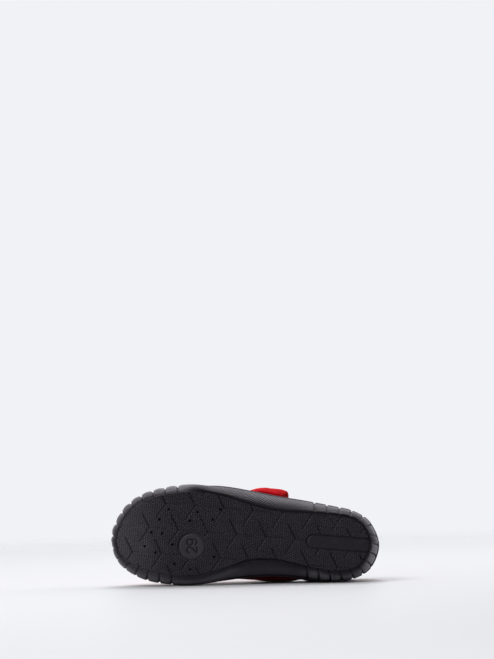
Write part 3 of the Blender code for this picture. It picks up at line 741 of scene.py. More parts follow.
def star_grooves(along, across):
    """1 in the middle of the tread's stars, with three arms from each point of a lattice of triangles."""
    row_gap = STAR_EDGE * math.sin(math.pi / 3)
    grooves = 0.0
    for arm, clear in enumerate(STAR_CLEAR):
        turn = math.radians(180 + STAR_TURN + 120 * arm)
        way = (math.cos(turn), math.sin(turn))
        run = along * way[0] + across * way[1] - (STAR_FIRST[0] * way[0] + STAR_FIRST[1] * way[1])
        beside = across * way[0] - along * way[1] - (STAR_FIRST[1] * way[0] - STAR_FIRST[0] * way[1])
        row = (beside * (1 / row_gap)).change("ROUND")
        off = (beside - row * row_gap).change("ABSOLUTE")
        place = (run * (1 / STAR_EDGE) - row * 0.5).change("FRACT")
        short_of_tip = 1 - place.over(STAR_REACH - STAR_TIP, STAR_REACH)
        grooves = (1 - off.over(0.0, STAR_HALF)) * short_of_tip * clear + grooves
    return grooves


def rubber(name, gloss):
    """Black moulded rubber: knurled tread with stars, ribbed waist, smooth boss and bar, some dust, painted
    light and painted shade.
    """
    finish = Finish(name, Specular_IOR_Level=gloss, Specular_Tint=RUBBER_TINT)
    along, across, up = finish.axes()
    open_tread, smooth = finish.mask("open_tread"), finish.mask("smooth")
    hole, scuffed, cut_in = finish.mask("hole"), finish.mask("scuff"), finish.mask("groove")
    # The side mask carries the walls' dust and painted light.
    side, ribbed = finish.mask("side"), finish.mask("waist")
    cloudy = finish.noise(CLOUD_SIZE, 4.0)
    grain = finish.noise(GRAIN_SIZE, 3.0)
    star = star_grooves(along, across) * open_tread
    ribs = (finish.mask("round") - up * RIB_SLANT).ripple(RIB_PITCH) * ribbed
    knurl = 0.0
    for turn in np.radians(STAR_TURN + 60.0 * np.arange(3)).tolist():
        knurl = (along * math.cos(turn) + across * math.sin(turn)).ripple(KNURL_PITCH) + knurl
    knurl = knurl * open_tread
    # Dust, and painted light on the toe, on the knurl's and ribs' crests and up the walls.
    dust_and_light = cloudy.over(0.5, 0.78) * DUST_AND_LIGHT["cloud"] * (1 - cut_in)
    dust_and_light = dust_and_light + scuffed * grain.over(0.45, 0.7) * DUST_AND_LIGHT["scuff"]
    dust_and_light = dust_and_light + smooth * DUST_AND_LIGHT["smooth"] + knurl * DUST_AND_LIGHT["knurl"]
    dust_and_light = dust_and_light + along.over(*TOE_PAINTED_LIGHT) * open_tread * DUST_AND_LIGHT["toe"]
    dust_and_light = dust_and_light + side * (DUST_AND_LIGHT["wall"] + grain * DUST_AND_LIGHT["grain"] + ribs * DUST_AND_LIGHT["rib"])
    colour = finish.blend(dust_and_light, RUBBER_BLACK, RUBBER_DUST_AND_LIGHT)
    # Painted shade in the pinholes, grooves, notches and stars.
    colour = finish.blend(hole + cut_in * GROOVE_PAINTED_SHADE + star.over(0.4, 1.0) * STAR_PAINTED_SHADE, colour, RUBBER_PAINTED_SHADE)
    knurled = finish.relief(knurl * (1 - star.over(0.1, 0.6)), KNURL_DEPTH)
    starred = finish.relief(star * -1, STAR_CUT, 1.0, knurled)
    rough = RUBBER_ROUGH + cloudy * 0.1 - side * 0.02 + cut_in * 0.25 - ribs * 0.08
    finish.wear(Base_Color=colour, Roughness=rough, Normal=finish.relief(ribs, RIB_DEPTH, 1.0, starred))
    return finish.material


def felt(name, shades, nap=1.0):
    """Wool felt: matted fibres of two shades with a short nap, with painted shade where it runs into the sole
    and near the floor.
    """
    finish = Finish(name, Specular_IOR_Level=0.08, Sheen_Weight=0.12, Sheen_Roughness=0.35,
                    Sheen_Tint=(1.0, 0.6, 0.6, 1.0))
    sockets = {"Vector": finish.place, "Scale": 1 / (FELT_DRIFT * MM)}
    drift = finish.node("ShaderNodeTexNoise", {}, sockets, "Color")
    bent = finish.node("ShaderNodeVectorMath", {"operation": "MULTIPLY_ADD"},
                       {0: drift, 1: (FELT_BEND * MM,) * 3, 2: finish.place})
    hairs = finish.noise(HAIR_SIZE, 4.0, 0.7, finish.stretched(bent, (0.35, 1.0, 1.0)))
    cross_hairs = finish.noise(CROSS_HAIR_SIZE, 4.0, 0.7, finish.stretched(bent, (1.0, 0.4, 0.5)))
    mottle = finish.noise(MOTTLE_SIZE, 3.0)
    share = (hairs + cross_hairs) * 0.42 + mottle * 0.3
    colour = finish.blend(share.over(0.35, 0.75), *shades)
    # Painted shade: the felt darkens where it runs into the sole and near the floor.
    colour = finish.blend(finish.mask("shade") * FELT_PAINTED_SHADE_SHARE, colour, FELT_PAINTED_SHADE)
    pressed = finish.relief(mottle, 0.35 * nap, 0.5)
    finish.wear(Base_Color=colour, Roughness=0.82 + hairs * 0.16,
                Normal=finish.relief(hairs + cross_hairs, 0.32 * nap, 0.9, pressed))
    return finish.material


def knit_lining():
    """Soft dark knit inside the shoe, in fine wales."""
    finish = Finish("lining_knit", Specular_IOR_Level=0.2, Sheen_Weight=0.2, Sheen_Roughness=0.5)
    along, across, up = finish.axes()
    loops = along.ripple(LINING_LOOP[0]) * (across + up).ripple(LINING_LOOP[1])
    fuzz = finish.noise(0.5, 4.0, 0.65)
    shade = (loops * 0.25 + fuzz).over(0.2, 0.9)
    finish.wear(Base_Color=finish.blend(shade, *LINING_SHADES),
                Roughness=0.85 + fuzz * 0.12, Normal=finish.relief(loops * 0.5 + fuzz, 0.3, 0.8))
    return finish.material


def binding_tape():
    """Narrow ribbed textile tape round the opening's edge."""
    finish = Finish("binding_tape", Specular_IOR_Level=0.2, Sheen_Weight=0.15, Sheen_Roughness=0.4)
    along, across, up = finish.axes()
    ribs = (along + across + up).ripple(BINDING_RIB)
    fuzz = finish.noise(0.4, 3.0)
    finish.wear(Base_Color=finish.blend(ribs * 0.3 + fuzz, *BINDING_SHADES),
                Roughness=0.75 + fuzz * 0.15, Normal=finish.relief(ribs * 0.4 + fuzz, 0.2, 0.7))
    return finish.material


def sewing_thread():
    """Twisted polyester thread."""
    finish = Finish("sewing_thread", Specular_IOR_Level=0.3, Sheen_Weight=0.1)
    along, across, up = finish.axes()
    twist = (along + across * 0.7 + up * 0.7).ripple(THREAD_TWIST)
    fuzz = finish.noise(0.3, 2.0)
    finish.wear(Base_Color=finish.blend(twist * 0.35 + fuzz, *THREAD_SHADES),
                Roughness=0.55 + fuzz * 0.2, Normal=finish.relief(twist, 0.09, 0.8))
    return finish.material


def closure_tape(name):
    """Woven tape that carries hooks or a loop pile."""
    size_mm, depth_mm, *shades = TAPE_FINISHES[name]
    finish = Finish(name, Specular_IOR_Level=0.3, Sheen_Weight=0.15)
    tufts = finish.cells(size_mm)
    fuzz = finish.noise(size_mm * 0.5, 3.0)
    finish.wear(Base_Color=finish.blend((1 - tufts) * 0.6 + fuzz * 0.5, *shades), Roughness=0.6 + fuzz * 0.3,
                Normal=finish.relief(fuzz * 0.4 - tufts, depth_mm, 0.9))
    return finish.material


def add_mesh(name, points, faces, finishes, masks=None, weld=False, numbers=None):
    """Object of one piece, its mesh in metres on the shoe's axes and its place from the frame."""
    mesh = bpy.data.meshes.new(name)
    mesh.from_pydata((np.asarray(points) * MM).tolist(), [], faces)
    for finish in finishes:
        mesh.materials.append(finish)
    if numbers:
        mesh.polygons.foreach_set("material_index", numbers)
    for label, values in (masks or {}).items():
        layer = mesh.attributes.new(label, "FLOAT", "POINT")
        layer.data.foreach_set("value", np.asarray(values, dtype=np.float32).ravel())
    skin = bmesh.new()
    skin.from_mesh(mesh)
    if weld:
        bmesh.ops.remove_doubles(skin, verts=skin.verts, dist=WELD)
    bmesh.ops.recalc_face_normals(skin, faces=skin.faces)
    skin.to_mesh(mesh)
    skin.free()
    mesh.shade_smooth()
    piece = bpy.data.objects.new(name, mesh)
    bpy.context.collection.objects.link(piece)
    piece.matrix_world = SHOE
    return piece


def grid_faces(index, wrap=False):
    """Quads of a grid of point numbers; wrap closes it from its last column to its first."""
    beside = np.roll(index, -1, axis=1) if wrap else index[:, 1:]
    here = index if wrap else index[:, :-1]
    return np.stack([here[:-1], here[1:], beside[1:], beside[:-1]], axis=-1).reshape(-1, 4).tolist()


def dress(piece, slot, *nodes):
    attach(piece, "root")
    if nodes:
        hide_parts(*nodes)
    return piece


def arc_lengths(path):
    """Length along a path at each of its points."""
    return np.concatenate([[0.0], np.cumsum(np.linalg.norm(np.diff(path, axis=0), axis=1))])


def segment_distance(points, start, end):
    run = np.subtract(end, start)
    share = np.clip((points - start) @ run / (run @ run), 0, 1)
    return np.linalg.norm(points - start - share[:, None] * run, axis=1)


def stroke_distance(points, path):
    """Distance to the nearest of a path's straight runs."""
    corners = np.asarray(path)
    return np.min([segment_distance(points, *run) for run in zip(corners[:-1], corners[1:])], axis=0)


def heading(angle):
    return np.array([math.cos(angle), math.sin(angle)])


def star_distance(points):
    """Distance to the nearest star's arm; each star sends three arms towards its neighbours."""
    turn = math.radians(180.0 + STAR_TURN)
    step_a, step_b = STAR_EDGE * heading(turn), STAR_EDGE * heading(turn + math.pi / 3)
    nearest = np.full(len(points), np.inf)
    for i in STAR_COLUMNS:
        for j in STAR_ROWS:
            node = np.array(STAR_FIRST) + i * step_a + j * step_b
            for arm, clear in enumerate(STAR_CLEAR):
                tip = node + STAR_ARM * heading(turn + arm * 2 * math.pi / 3)
                away = segment_distance(points, node, tip) + (1 - clear) * STAR_HALF
                nearest = np.minimum(nearest, away)
    return nearest


def arc_path(middle, radius, first, final, steps=14):
    angles = np.radians(np.linspace(first, final, steps))
    return [(middle[0] + radius * math.cos(a), middle[1] + radius * math.sin(a)) for a in angles]


def figure_paths():
    """Strokes of the size in figures on the boss, reading across the sole with their tops to the toe."""
    bowl = FIGURE_WIDTH / 2
    top = (bowl, FIGURE_HEIGHT - bowl)
    two = arc_path(top, bowl, 170, -40) + [(0.0, 0.0), (FIGURE_WIDTH, 0.0)]
    nine = arc_path(top, bowl, 0, 360, 24) + arc_path((bowl, bowl), bowl, 0, -150)
    width = 2 * FIGURE_WIDTH + FIGURE_GAP
    paths = []
    for path, shift in ((two, 0.0), (nine, FIGURE_WIDTH + FIGURE_GAP)):
        paths.append([(BOSS[0] + y - FIGURE_HEIGHT / 2, BOSS[1] + x + shift - width / 2) for x, y in path])
    return paths


def trench(distance, half):
    """Share of a groove's depth at a distance from its middle line."""
    return 1 - smooth_step((distance - half) / EDGE_SOFT)


def panel_distances(points):
    """Distances past the edge of the boss and past the edge of the bar, negative on them."""
    boss = np.linalg.norm(points - BOSS, axis=1) - BOSS_RADIUS
    bar = segment_distance(points, np.array(BAR_FRONT), np.array(BAR_BACK)) - BAR_HALF_WIDTH
    return boss, bar


def figure_distance(points):
    return np.min([stroke_distance(points, path) for path in figure_paths()], axis=0)


def panel_relief(points):
    """Depth of the grooves round boss and bar, and of the figures."""
    boss, bar = panel_distances(points)
    grooves = np.maximum(trench(np.abs(boss), GROOVE_HALF), trench(np.abs(bar), GROOVE_HALF))
    return np.maximum(GROOVE_DEPTH * grooves, FIGURE_DEPTH * trench(figure_distance(points), FIGURE_STROKE))


def tread_relief(points):
    """Depth of the tread's grooves, figures and pinholes at points given by along and across."""
    boss, bar = panel_distances(points)
    open_tread = (boss > PANEL_CLEAR) & (bar > PANEL_CLEAR)
    depth = STAR_DEPTH * (1 - smooth_step(star_distance(points) / STAR_HALF)) * open_tread
    return np.maximum(np.maximum(depth, panel_relief(points)), PINHOLE_DEPTH * pinhole_share(points))


def pinhole_share(points):
    nearest = np.min([np.linalg.norm(points - hole, axis=1) for hole in PINHOLES], axis=0)
    return 1 - smooth_step((nearest - PINHOLE_RADIUS) / EDGE_SOFT)


STATIONS = np.linspace(0, LAST_STATION, 100 * LAST_STATION + 1)


def rim_arc(side):
    """Length along one side's rim from the toe tip, at each of STATIONS."""
    return arc_lengths(round_curve(RIM, side * STATIONS))


def notch_places(side):
    arc = rim_arc(side)
    (toe_first, toe_pitch, toe_count), (heel_first, heel_pitch, heel_count) = LUG_NOTCHES[side].values()
    toe = toe_first + toe_pitch * np.arange(toe_count)
    return np.concatenate([toe, arc[-1] - heel_first - heel_pitch * np.arange(heel_count)])


def sole_stations():
    """Stations of the sole's sections, in even steps along the lateral rim."""
    arc = rim_arc(1)
    return np.interp(np.linspace(0, arc[-1], int(arc[-1] / SOLE_PITCH)), arc, STATIONS)


def round_corners(section):
    """Cuts each corner of a section once, and keeps its ends."""
    first = 0.75 * section[:, :-1] + 0.25 * section[:, 1:]
    second = 0.25 * section[:, :-1] + 0.75 * section[:, 1:]
    cut = np.stack([first, second], axis=2).reshape(len(section), -1, 3)
    return np.concatenate([section[:, :1], cut[:, 1:-1], section[:, -1:]], axis=1)


def wall_sections(stations, side):
    """Sections of one side, from the tread's edge up the outside and down into the cup."""
    t = side * stations
    tread, rim, normal = round_curve(TREAD, t), round_curve(RIM, t), outward(t)
    notch = notch_share(stations, side)
    crown = LUG_CROWN[side] * smooth_step(2 * notch_distance(stations, side) / LUG_CROWN_SPAN)
    off_heel = smooth_step((rim[:, 0] - HEEL_BAND_TO) / HEEL_BAND_FADE)
    waist = smooth_step((np.linalg.norm(rim - tread, axis=1) - BLOCK_STRIP) / (WAIST_STRIP - BLOCK_STRIP))
    low, top = tread_up(tread[:, 0]), side_view("wall_top", rim[:, 0])
    points = []
    for values in WALL_SECTION:
        row = dict(zip(WALL_COLUMNS, values))
        reach = row["share"] + (row["waist_share"] - row["share"]) * waist
        climb = row["rise"] + (row["waist_rise"] - row["rise"]) * waist
        deep = notch * (row["notch_depth"] + row["bead_notch"] * off_heel)
        deep = deep - crown * (1 - waist) * min(row["notch_depth"], 1.0)
        out = row["out"] + row["waist_out"] * waist - deep
        plan = tread + (rim - tread) * reach[:, None] + normal * out[:, None]
        up = low + climb * (top - low) + row["lift"] + notch * row["notch_lift"]
        points.append(np.concatenate([plan, up[:, None]], axis=1))
    cup = rim - CUP_INSET * normal
    points.append(np.concatenate([cup, side_view("floor_up", cup[:, 0])[:, None]], axis=1))
    return round_corners(np.stack(points, axis=1))


def notch_distance(stations, side):
    """Way along the rim to the nearest notch between lugs."""
    place = np.interp(stations, STATIONS, rim_arc(side))
    return np.abs(place[:, None] - notch_places(side)[None, :]).min(axis=1)


def notch_share(stations, side):
    """1 in the middle of the notches between lugs, 0 on the lugs."""
    return np.exp(-(notch_distance(stations, side) / NOTCH_HALF) ** 2)


def stretch_share(name, along):
    """Share, from 0 to 1, in which places along the shoe lie in one of the side's stretches."""
    if name == "all":
        return np.ones(along.shape)
    if name == "ball":
        return np.exp(-((along - BALL[0]) / BALL[1]) ** 2)
    return np.prod([smooth_step((along - first) / over) for first, over in STRETCH_ENDS[name]], axis=0)


def side_marks(walls, side):
    """How pale one side is with dust and painted light, and how clear its ribs are."""
    along = walls[..., 0]
    low = tread_up(along)
    climb = (walls[..., 2] - low) / (side_view("wall_top", along) - low)
    pale, start, span = sum(stretch_share(name, along) * np.reshape(amounts, (3, 1, 1))
                            for name, amounts in WALL_DUST_AND_LIGHT[side].items())
    pale = pale * (WALL_DUST_AND_LIGHT_LEAST + smooth_step((climb - start) / span))
    face = smooth_step((climb - RIBS_FROM[0]) / RIBS_FROM[1]) * smooth_step((RIBS_TO[0] - climb) / RIBS_TO[1])
    ribs = face * (RIBS_CLEAR[side] + RIBS_WAIST[side] * stretch_share("lateral_waist", along))
    return pale, ribs


def wall_grooves(stations, walls):
    """Painted shade on the walls in the notches, at the tread's border and under the bead."""
    columns = np.arange(walls.shape[1])
    lateral = columns < walls.shape[1] // 2
    from_tread = np.minimum(columns, columns[::-1])
    border = (from_tread >= BORDER_ROWS[0]) & (from_tread <= BORDER_ROWS[1])
    bead = (from_tread >= BEAD_ROWS[0]) & (from_tread <= BEAD_ROWS[1])
    lines = np.maximum(border * np.where(lateral, BORDER_SHADE[1], BORDER_SHADE[-1]), bead * BEAD_SHADE)
    faint = 1 - NOTCH_SHADE_FAINT * stretch_share("heel", walls[:, 0, 0])
    shares = notch_share(stations, 1) * faint, notch_share(stations, -1)
    notches = np.where(lateral, shares[0][:, None], shares[1][:, None])
    return np.maximum(notches, lines)


def wall_masks(stations, walls):
    """Marks how pale the side is with dust and painted light, its painted shade in grooves, its ribs, and the
    way along its rim.
    """
    half = walls.shape[1] // 2
    both = zip(side_marks(walls[:, :half], 1), side_marks(walls[:, half:], -1))
    pale, ribs = (np.concatenate(marks, axis=1) for marks in both)
    way = np.interp(stations, STATIONS, rim_arc(1))
    return {"side": pale, "groove": wall_grooves(stations, walls), "waist": ribs,
            "round": np.broadcast_to(way[:, None], pale.shape)}


def tread_masks(tread):
    """Marks where the tread is smooth, scuffed or knurled, and where painted shade darkens its grooves,
    figures and pinholes.
    """
    plan = tread[..., :2].reshape(-1, 2)
    on_boss, on_bar = (trench(distance, PANEL_EDGE) for distance in panel_distances(plan))
    sunk = PANEL_GROOVE_SHADE * np.clip(panel_relief(plan) / FIGURE_DEPTH, 0, 1)
    from_scuff = np.linalg.norm(plan - SCUFF, axis=1)
    return {
        "open_tread": 1 - np.maximum(on_boss, on_bar),
        "smooth": np.maximum(on_boss, BAR_PLAIN * on_bar),
        "groove": np.maximum(trench(figure_distance(plan), FIGURE_STROKE), sunk),
        "hole": pinhole_share(plan),
        "scuff": 1 - smooth_step((from_scuff - SCUFF_CORE) / SCUFF_RADIUS),
    }


def add_sheet(name, grid, masks, finish):
    """One sheet of the sole."""
    index = np.arange(grid[..., 0].size).reshape(grid.shape[:2])
    sheet = add_mesh(name, grid.reshape(-1, 3), grid_faces(index), [finish], masks, True)
    dress(sheet, "sole_rubber", "outsole")


def add_outsole():
    """The sole's side walls with its cup, and its tread as a finer sheet between their lower edges."""
    stations = sole_stations()
    lateral, medial = wall_sections(stations, 1), wall_sections(stations, -1)
    cup_share = np.linspace(0, 1, CUP_COLUMNS + 2)[1:-1, None]
    cup = lateral[:, -1:] + (medial[:, -1:] - lateral[:, -1:]) * cup_share
    walls = np.concatenate([lateral, cup, medial[:, ::-1]], axis=1)
    add_sheet("outsole_walls", walls, wall_masks(stations, walls), rubber("wall_rubber", WALL_GLOSS))
    tread = medial[:, :1] + (lateral[:, :1] - medial[:, :1]) * np.linspace(0, 1, TREAD_COLUMNS)[:, None]
    from_edge = np.minimum(np.arange(TREAD_COLUMNS), np.arange(TREAD_COLUMNS)[::-1])
    relief = tread_relief(tread[..., :2].reshape(-1, 2)).reshape(tread.shape[:2]) * np.minimum(from_edge, 1)
    tread[..., 2] = tread_up(tread[..., 0]) + relief
    add_sheet("outsole_tread", tread, tread_masks(tread), rubber("tread_rubber", TREAD_GLOSS))


def crease_lift(station, girth):
    """How far the felt is pressed in, or pushed up beside a trough."""
    lift = np.zeros(np.broadcast(station, girth).shape)
    for values in CREASES:
        row = dict(zip(CREASE_COLUMNS, values))
        off = (station - row["station"] - row["slant"] * (girth - row["girth"])) / row["width"]
        hold = np.exp(-((girth - row["girth"]) / row["length"]) ** 2)
        bank = CREASE_BANK * np.exp(-((np.abs(off) - CREASE_BANK_OFF) / CREASE_BANK_WIDTH) ** 2)
        lift = lift - row["depth"] * hold * (np.exp(-off ** 2) - bank)
    return lift


def seam_station(girth):
    """Station of the side seam at a girth, on either side."""
    share = smooth_step((np.abs(girth) - SEAM_STRAIGHT_GIRTH) / (1 - SEAM_STRAIGHT_GIRTH))
    return SEAM_TOP + (SEAM_FOOT - SEAM_TOP) * share


def upper_rib(station, side):
    """One rib's girths, lifts and wall, from the sole's cup up to the opening or the ridge."""
    edge = opening_girth(station, side)
    base = last_face(station, side * 1.0)
    lip = girth_at(station, side, float(side_view("wall_top", base[0])) + GAP)
    girths = np.linspace(lip, edge, CURVE_SAMPLES)
    run = last_face(np.full(girths.shape, station), side * girths)
    arc = arc_lengths(run)
    collar = float(smooth_step((station - COLLAR_FROM_STATION) / COLLAR_OVER_STATIONS))
    wall = UPPER_WALL + (COLLAR_WALL - UPPER_WALL) * collar
    top = arc[-1] - (wall / 2 if station > THROAT_FRONT else 0.0)
    places = np.concatenate([np.linspace(0, top - COLLAR_DEPTH, BODY_ROWS, endpoint=False),
                             np.linspace(top - COLLAR_DEPTH, top, COLLAR_ROWS)])
    below, puffs = zip(*COLLAR_PUFF)
    puff = np.interp(top - places, below, puffs) * collar
    at = np.concatenate([[1.0], np.interp(places, arc, girths)])
    padding = np.concatenate([[0.0], smooth_step((places - top + COLLAR_DEPTH + COLLAR_LEAD) / COLLAR_OVER)])
    walls = UPPER_WALL + (wall - UPPER_WALL) * padding
    loose = smooth_step((1.0 - at) / LOOSE_OVER_GIRTH)
    lift = np.concatenate([[0.0], puff]) + crease_lift(station, side * at) * loose
    seam = np.abs(station - seam_station(at)) / SEAM_HALF
    lift = lift - SEAM_DEPTH * np.exp(-seam ** 2) * loose
    return side * at, lift, walls


def upper_ribs():
    even = np.linspace(0, LAST_STATION, LAST_STATION * RIBS_PER_STATION + 1)
    return np.unique(np.concatenate([even, THROAT_RIBS]))


def lip_points(outer_edge, inner_edge):
    """Round lip between the two edges of the wall, for a closed loop round the opening."""
    across = outer_edge - inner_edge
    run = np.roll(outer_edge, -1, axis=0) - np.roll(outer_edge, 1, axis=0)
    into = np.cross(run, across)
    into /= np.linalg.norm(into, axis=1, keepdims=True)
    if ((outer_edge.mean(axis=0) - outer_edge) * into).sum() < 0:
        into = -into
    middle = (outer_edge + inner_edge) / 2
    half = np.linalg.norm(across, axis=1, keepdims=True) / 2
    turns = [math.pi * k / LIP_STEPS for k in range(1, LIP_STEPS)]
    return np.stack([middle + across / 2 * math.cos(a) + into * half * math.sin(a) for a in turns], axis=1)


def add_upper():
    """Hollow felt upper with a round lip, a padded collar, a knit lining and a bound edge."""
    stations = upper_ribs()
    throat = int(np.searchsorted(stations, THROAT_FRONT))
    outer, inner, blocks = {}, {}, []
    for side in (1, -1):
        ribs = [upper_rib(float(station), side) for station in stations]
        girths, lifts, walls = (np.array(values) for values in zip(*ribs))
        grid = np.broadcast_to(stations[:, None], girths.shape)
        outer[side], inner[side] = lifted(grid, girths, lifts), lifted(grid, girths, lifts - walls)
        foot = np.stack([outer[side][:, 0], inner[side][:, 0]], axis=1)
        blocks += [(outer[side], FELT), (inner[side], LINING), (foot, LINING)]
    back = range(len(stations) - 2, throat, -1)
    loop = [(1, i) for i in range(throat, len(stations))] + [(-1, i) for i in back]
    outer_edge, inner_edge = (np.array([face[side][i, -1] for side, i in loop]) for face in (outer, inner))
    lips = lip_points(outer_edge, inner_edge)
    edges = np.concatenate([outer_edge[:, None], lips, inner_edge[:, None]], axis=1)
    blocks.append((np.concatenate([edges, edges[:1]]), BINDING))
    bound_from = outer[1].shape[1] - 1 - BINDING_ROWS
    points, faces, numbers = np.empty((0, 3)), [], []
    for grid, number in blocks:
        index = len(points) + np.arange(grid[..., 0].size).reshape(grid.shape[:2])
        rib, row = np.indices((grid.shape[0] - 1, grid.shape[1] - 1))
        numbers += np.where((row >= bound_from) & (rib >= throat), BINDING, number).ravel().tolist()
        faces += grid_faces(index)
        points = np.concatenate([points, grid.reshape(-1, 3)])
    finishes = [felt("upper_felt_finish", FELT_SHADES["upper"]), knit_lining(), binding_tape()]
    upper = add_mesh("upper_felt", points, faces, finishes, {"shade": felt_painted_shade(points)}, True, numbers)
    return dress(upper, "upper_felt", "upper")


def felt_painted_shade(points):
    """Painted shade: 1 where the felt runs into the sole and where it lies near the floor."""
    medial = smooth_step((CREVICE_MEDIAL_FROM - points[:, 1]) / CREVICE_MEDIAL_OVER)
    reach = CREVICE_HEIGHT + CREVICE_MEDIAL * medial
    crevice = 1 - smooth_step((points[:, 2] - side_view("wall_top", points[:, 0])) / reach)
    height = points @ np.array(SHOE.to_3x3())[2] + SHOE.translation.z / MM
    return np.maximum(crevice, 1 - smooth_step((height - FLOOR_SHADE_FROM) / FLOOR_SHADE_HEIGHT))


def edge_drop(grid, pitch, rounding):
    """How far a slab's face falls at its border, as a quarter circle; pitch is the mm of a step each way."""
    down, over = (np.minimum(np.arange(n), np.arange(n)[::-1]) * step for n, step in zip(grid, pitch))
    near = np.clip(np.minimum(down[:, None], over[None, :]) / rounding, 0, 1)
    return rounding * (1 - np.sqrt(1 - (1 - near) ** 2))


def seam_dip(sideways, inset, dip):
    """How deep a seam along both edges of a piece sinks."""
    return dip * np.exp(-((np.abs(sideways) - inset) / SEAM_DIP_HALF) ** 2)


def add_slab(name, outer, inner, finishes):
    """Closed piece between two grids of points with the same rows and columns."""
    rows, columns = outer.shape[:2]
    index = np.arange(rows * columns).reshape(rows, columns)
    under = index + rows * columns
    border = np.concatenate([index[0, :-1], index[:-1, -1], index[-1, :0:-1], index[:0:-1, 0]])
    side = np.stack([border, border + rows * columns], axis=1)
    faces = grid_faces(index) + grid_faces(under) + grid_faces(np.concatenate([side, side[:1]]))
    return add_mesh(name, np.concatenate([outer.reshape(-1, 3), inner.reshape(-1, 3)]), faces, finishes)


def add_insole():
    """Soft sock in the cup, dished, with a rounded edge."""
    rows, columns = INSOLE_GRID
    stations = INSOLE_END + (LAST_STATION - 2 * INSOLE_END) * np.linspace(0, 1, rows)
    lateral = round_curve(RIM, stations) - INSOLE_INSET * outward(stations)
    medial = round_curve(RIM, -stations) - INSOLE_INSET * outward(-stations)
    share = np.linspace(0, 1, columns)[None, :, None]
    plan = lateral[:, None] + (medial - lateral)[:, None] * share
    seat = side_view("floor_up", plan[..., 0]) + GAP
    dish = INSOLE_DISH * np.sin(math.pi * share[..., 0])
    drop = edge_drop(INSOLE_GRID, INSOLE_PITCH, INSOLE_ROUNDING)
    top = np.concatenate([plan, (seat + INSOLE_THICKNESS - dish - drop)[..., None]], axis=-1)
    bottom = np.concatenate([plan, seat[..., None]], axis=-1)
    insole = add_slab("insole_sock", top, bottom, [knit_lining()])
    return dress(insole, "insole_textile", "insole")


def tongue_grid():
    rows, columns = TONGUE_GRID
    stations = np.linspace(TONGUE_FROM_STATION, TONGUE_TO_STATION, rows)
    from_end = np.clip((TONGUE_TO_STATION - stations) / TONGUE_END_ROUNDING, 0, 1)
    half = TONGUE_HALF_GIRTH * rounded_end(from_end, TONGUE_END_SHARE)
    sideways = np.linspace(-1, 1, columns)[None, :]
    return np.broadcast_to(stations[:, None], (rows, columns)), half[:, None] * sideways, sideways


def add_tongue():
    """Padded tongue under the throat, with a soft round edge."""
    grid, girths, sideways = tongue_grid()
    crown = TONGUE_CROWN * smooth_step((grid - TONGUE_CROWN_FROM) / TONGUE_CROWN_OVER) * (1 - sideways ** 2)
    drop = edge_drop(TONGUE_GRID, TONGUE_PITCH, TONGUE_ROUNDING)
    seam = seam_dip(sideways, TONGUE_SEAM_INSET, TONGUE_SEAM_DIP)
    outer = lifted(grid, girths, crown - TONGUE_CLEARANCE - drop - seam)
    inner = lifted(grid, girths, -TONGUE_CLEARANCE - TONGUE_THICKNESS + drop)
    tongue = add_slab("tongue_pad", outer, inner, [felt("tongue_felt_finish", FELT_SHADES["tongue"])])
    return dress(tongue, "tongue_felt", "tongue")


def strap_lift(girth, sideways):
    """Height of the strap's underside: up over the tapes and its back edge, down at its front and free end."""
    rise = smooth_step((girth - STRAP_TAB_FROM) / (STRAP_TAB_TO - STRAP_TAB_FROM))
    rise = rise * smooth_step((sideways + 1) / STRAP_FRONT_SLOPE)
    rise = rise * (1 - smooth_step((girth - STRAP_TAB_BACK) / (STRAP_LATERAL_GIRTH - STRAP_TAB_BACK)))
    return STRAP_LIFT + (STRAP_TAB_LIFT - STRAP_LIFT + STRAP_BACK_RISE * np.clip(sideways, 0, 1)) * rise


def strap_top(girth, sideways):
    """Height of the strap's face, which falls towards both edges."""
    thinner = smooth_step((np.abs(sideways) - STRAP_EDGE_FROM) / (1 - STRAP_EDGE_FROM))
    thinner = thinner * np.where(np.asarray(sideways) < 0, STRAP_EDGE_THINNER, STRAP_BACK_THINNER)
    return strap_lift(girth, sideways) + STRAP_THICKNESS - thinner


def strap_half(girth):
    """Half width of the strap in stations, narrowing at its free end."""
    from_end = np.clip((STRAP_LATERAL_GIRTH - girth) / STRAP_CORNER, 0, 1)
    return STRAP_HALF_WIDTH * rounded_end(from_end, STRAP_END_SHARE)


def add_strap():
    """Felt strap with rounded edges, drawn in along its seam."""
    rows, columns = STRAP_GRID
    girths = np.linspace(STRAP_MEDIAL_GIRTH, STRAP_LATERAL_GIRTH, rows)
    sideways = np.linspace(-1, 1, columns)
    grid = np.broadcast_to(girths[:, None], (rows, columns))
    stations = STRAP_STATION + strap_half(girths)[:, None] * sideways[None, :]
    drop = edge_drop(STRAP_GRID, STRAP_PITCH, STRAP_ROUNDING)
    short_of_end = smooth_step((STRAP_LATERAL_GIRTH - STRAP_SEAM_END - girths[:, None]) / STRAP_SEAM_FADE)
    seam = seam_dip(sideways[None, :], STRAP_SEAM_INSET, STRAP_SEAM_DIP) * short_of_end
    outer = lifted(stations, grid, strap_top(grid, sideways[None, :]) - drop - seam)
    inner = lifted(stations, grid, strap_lift(grid, sideways[None, :]) + STRAP_UNDER_ROUNDING * drop)
    red = felt("strap_felt_finish", FELT_SHADES["strap"], STRAP_NAP)
    return dress(add_slab("strap_felt", outer, inner, [red]), "strap_felt", "strap")


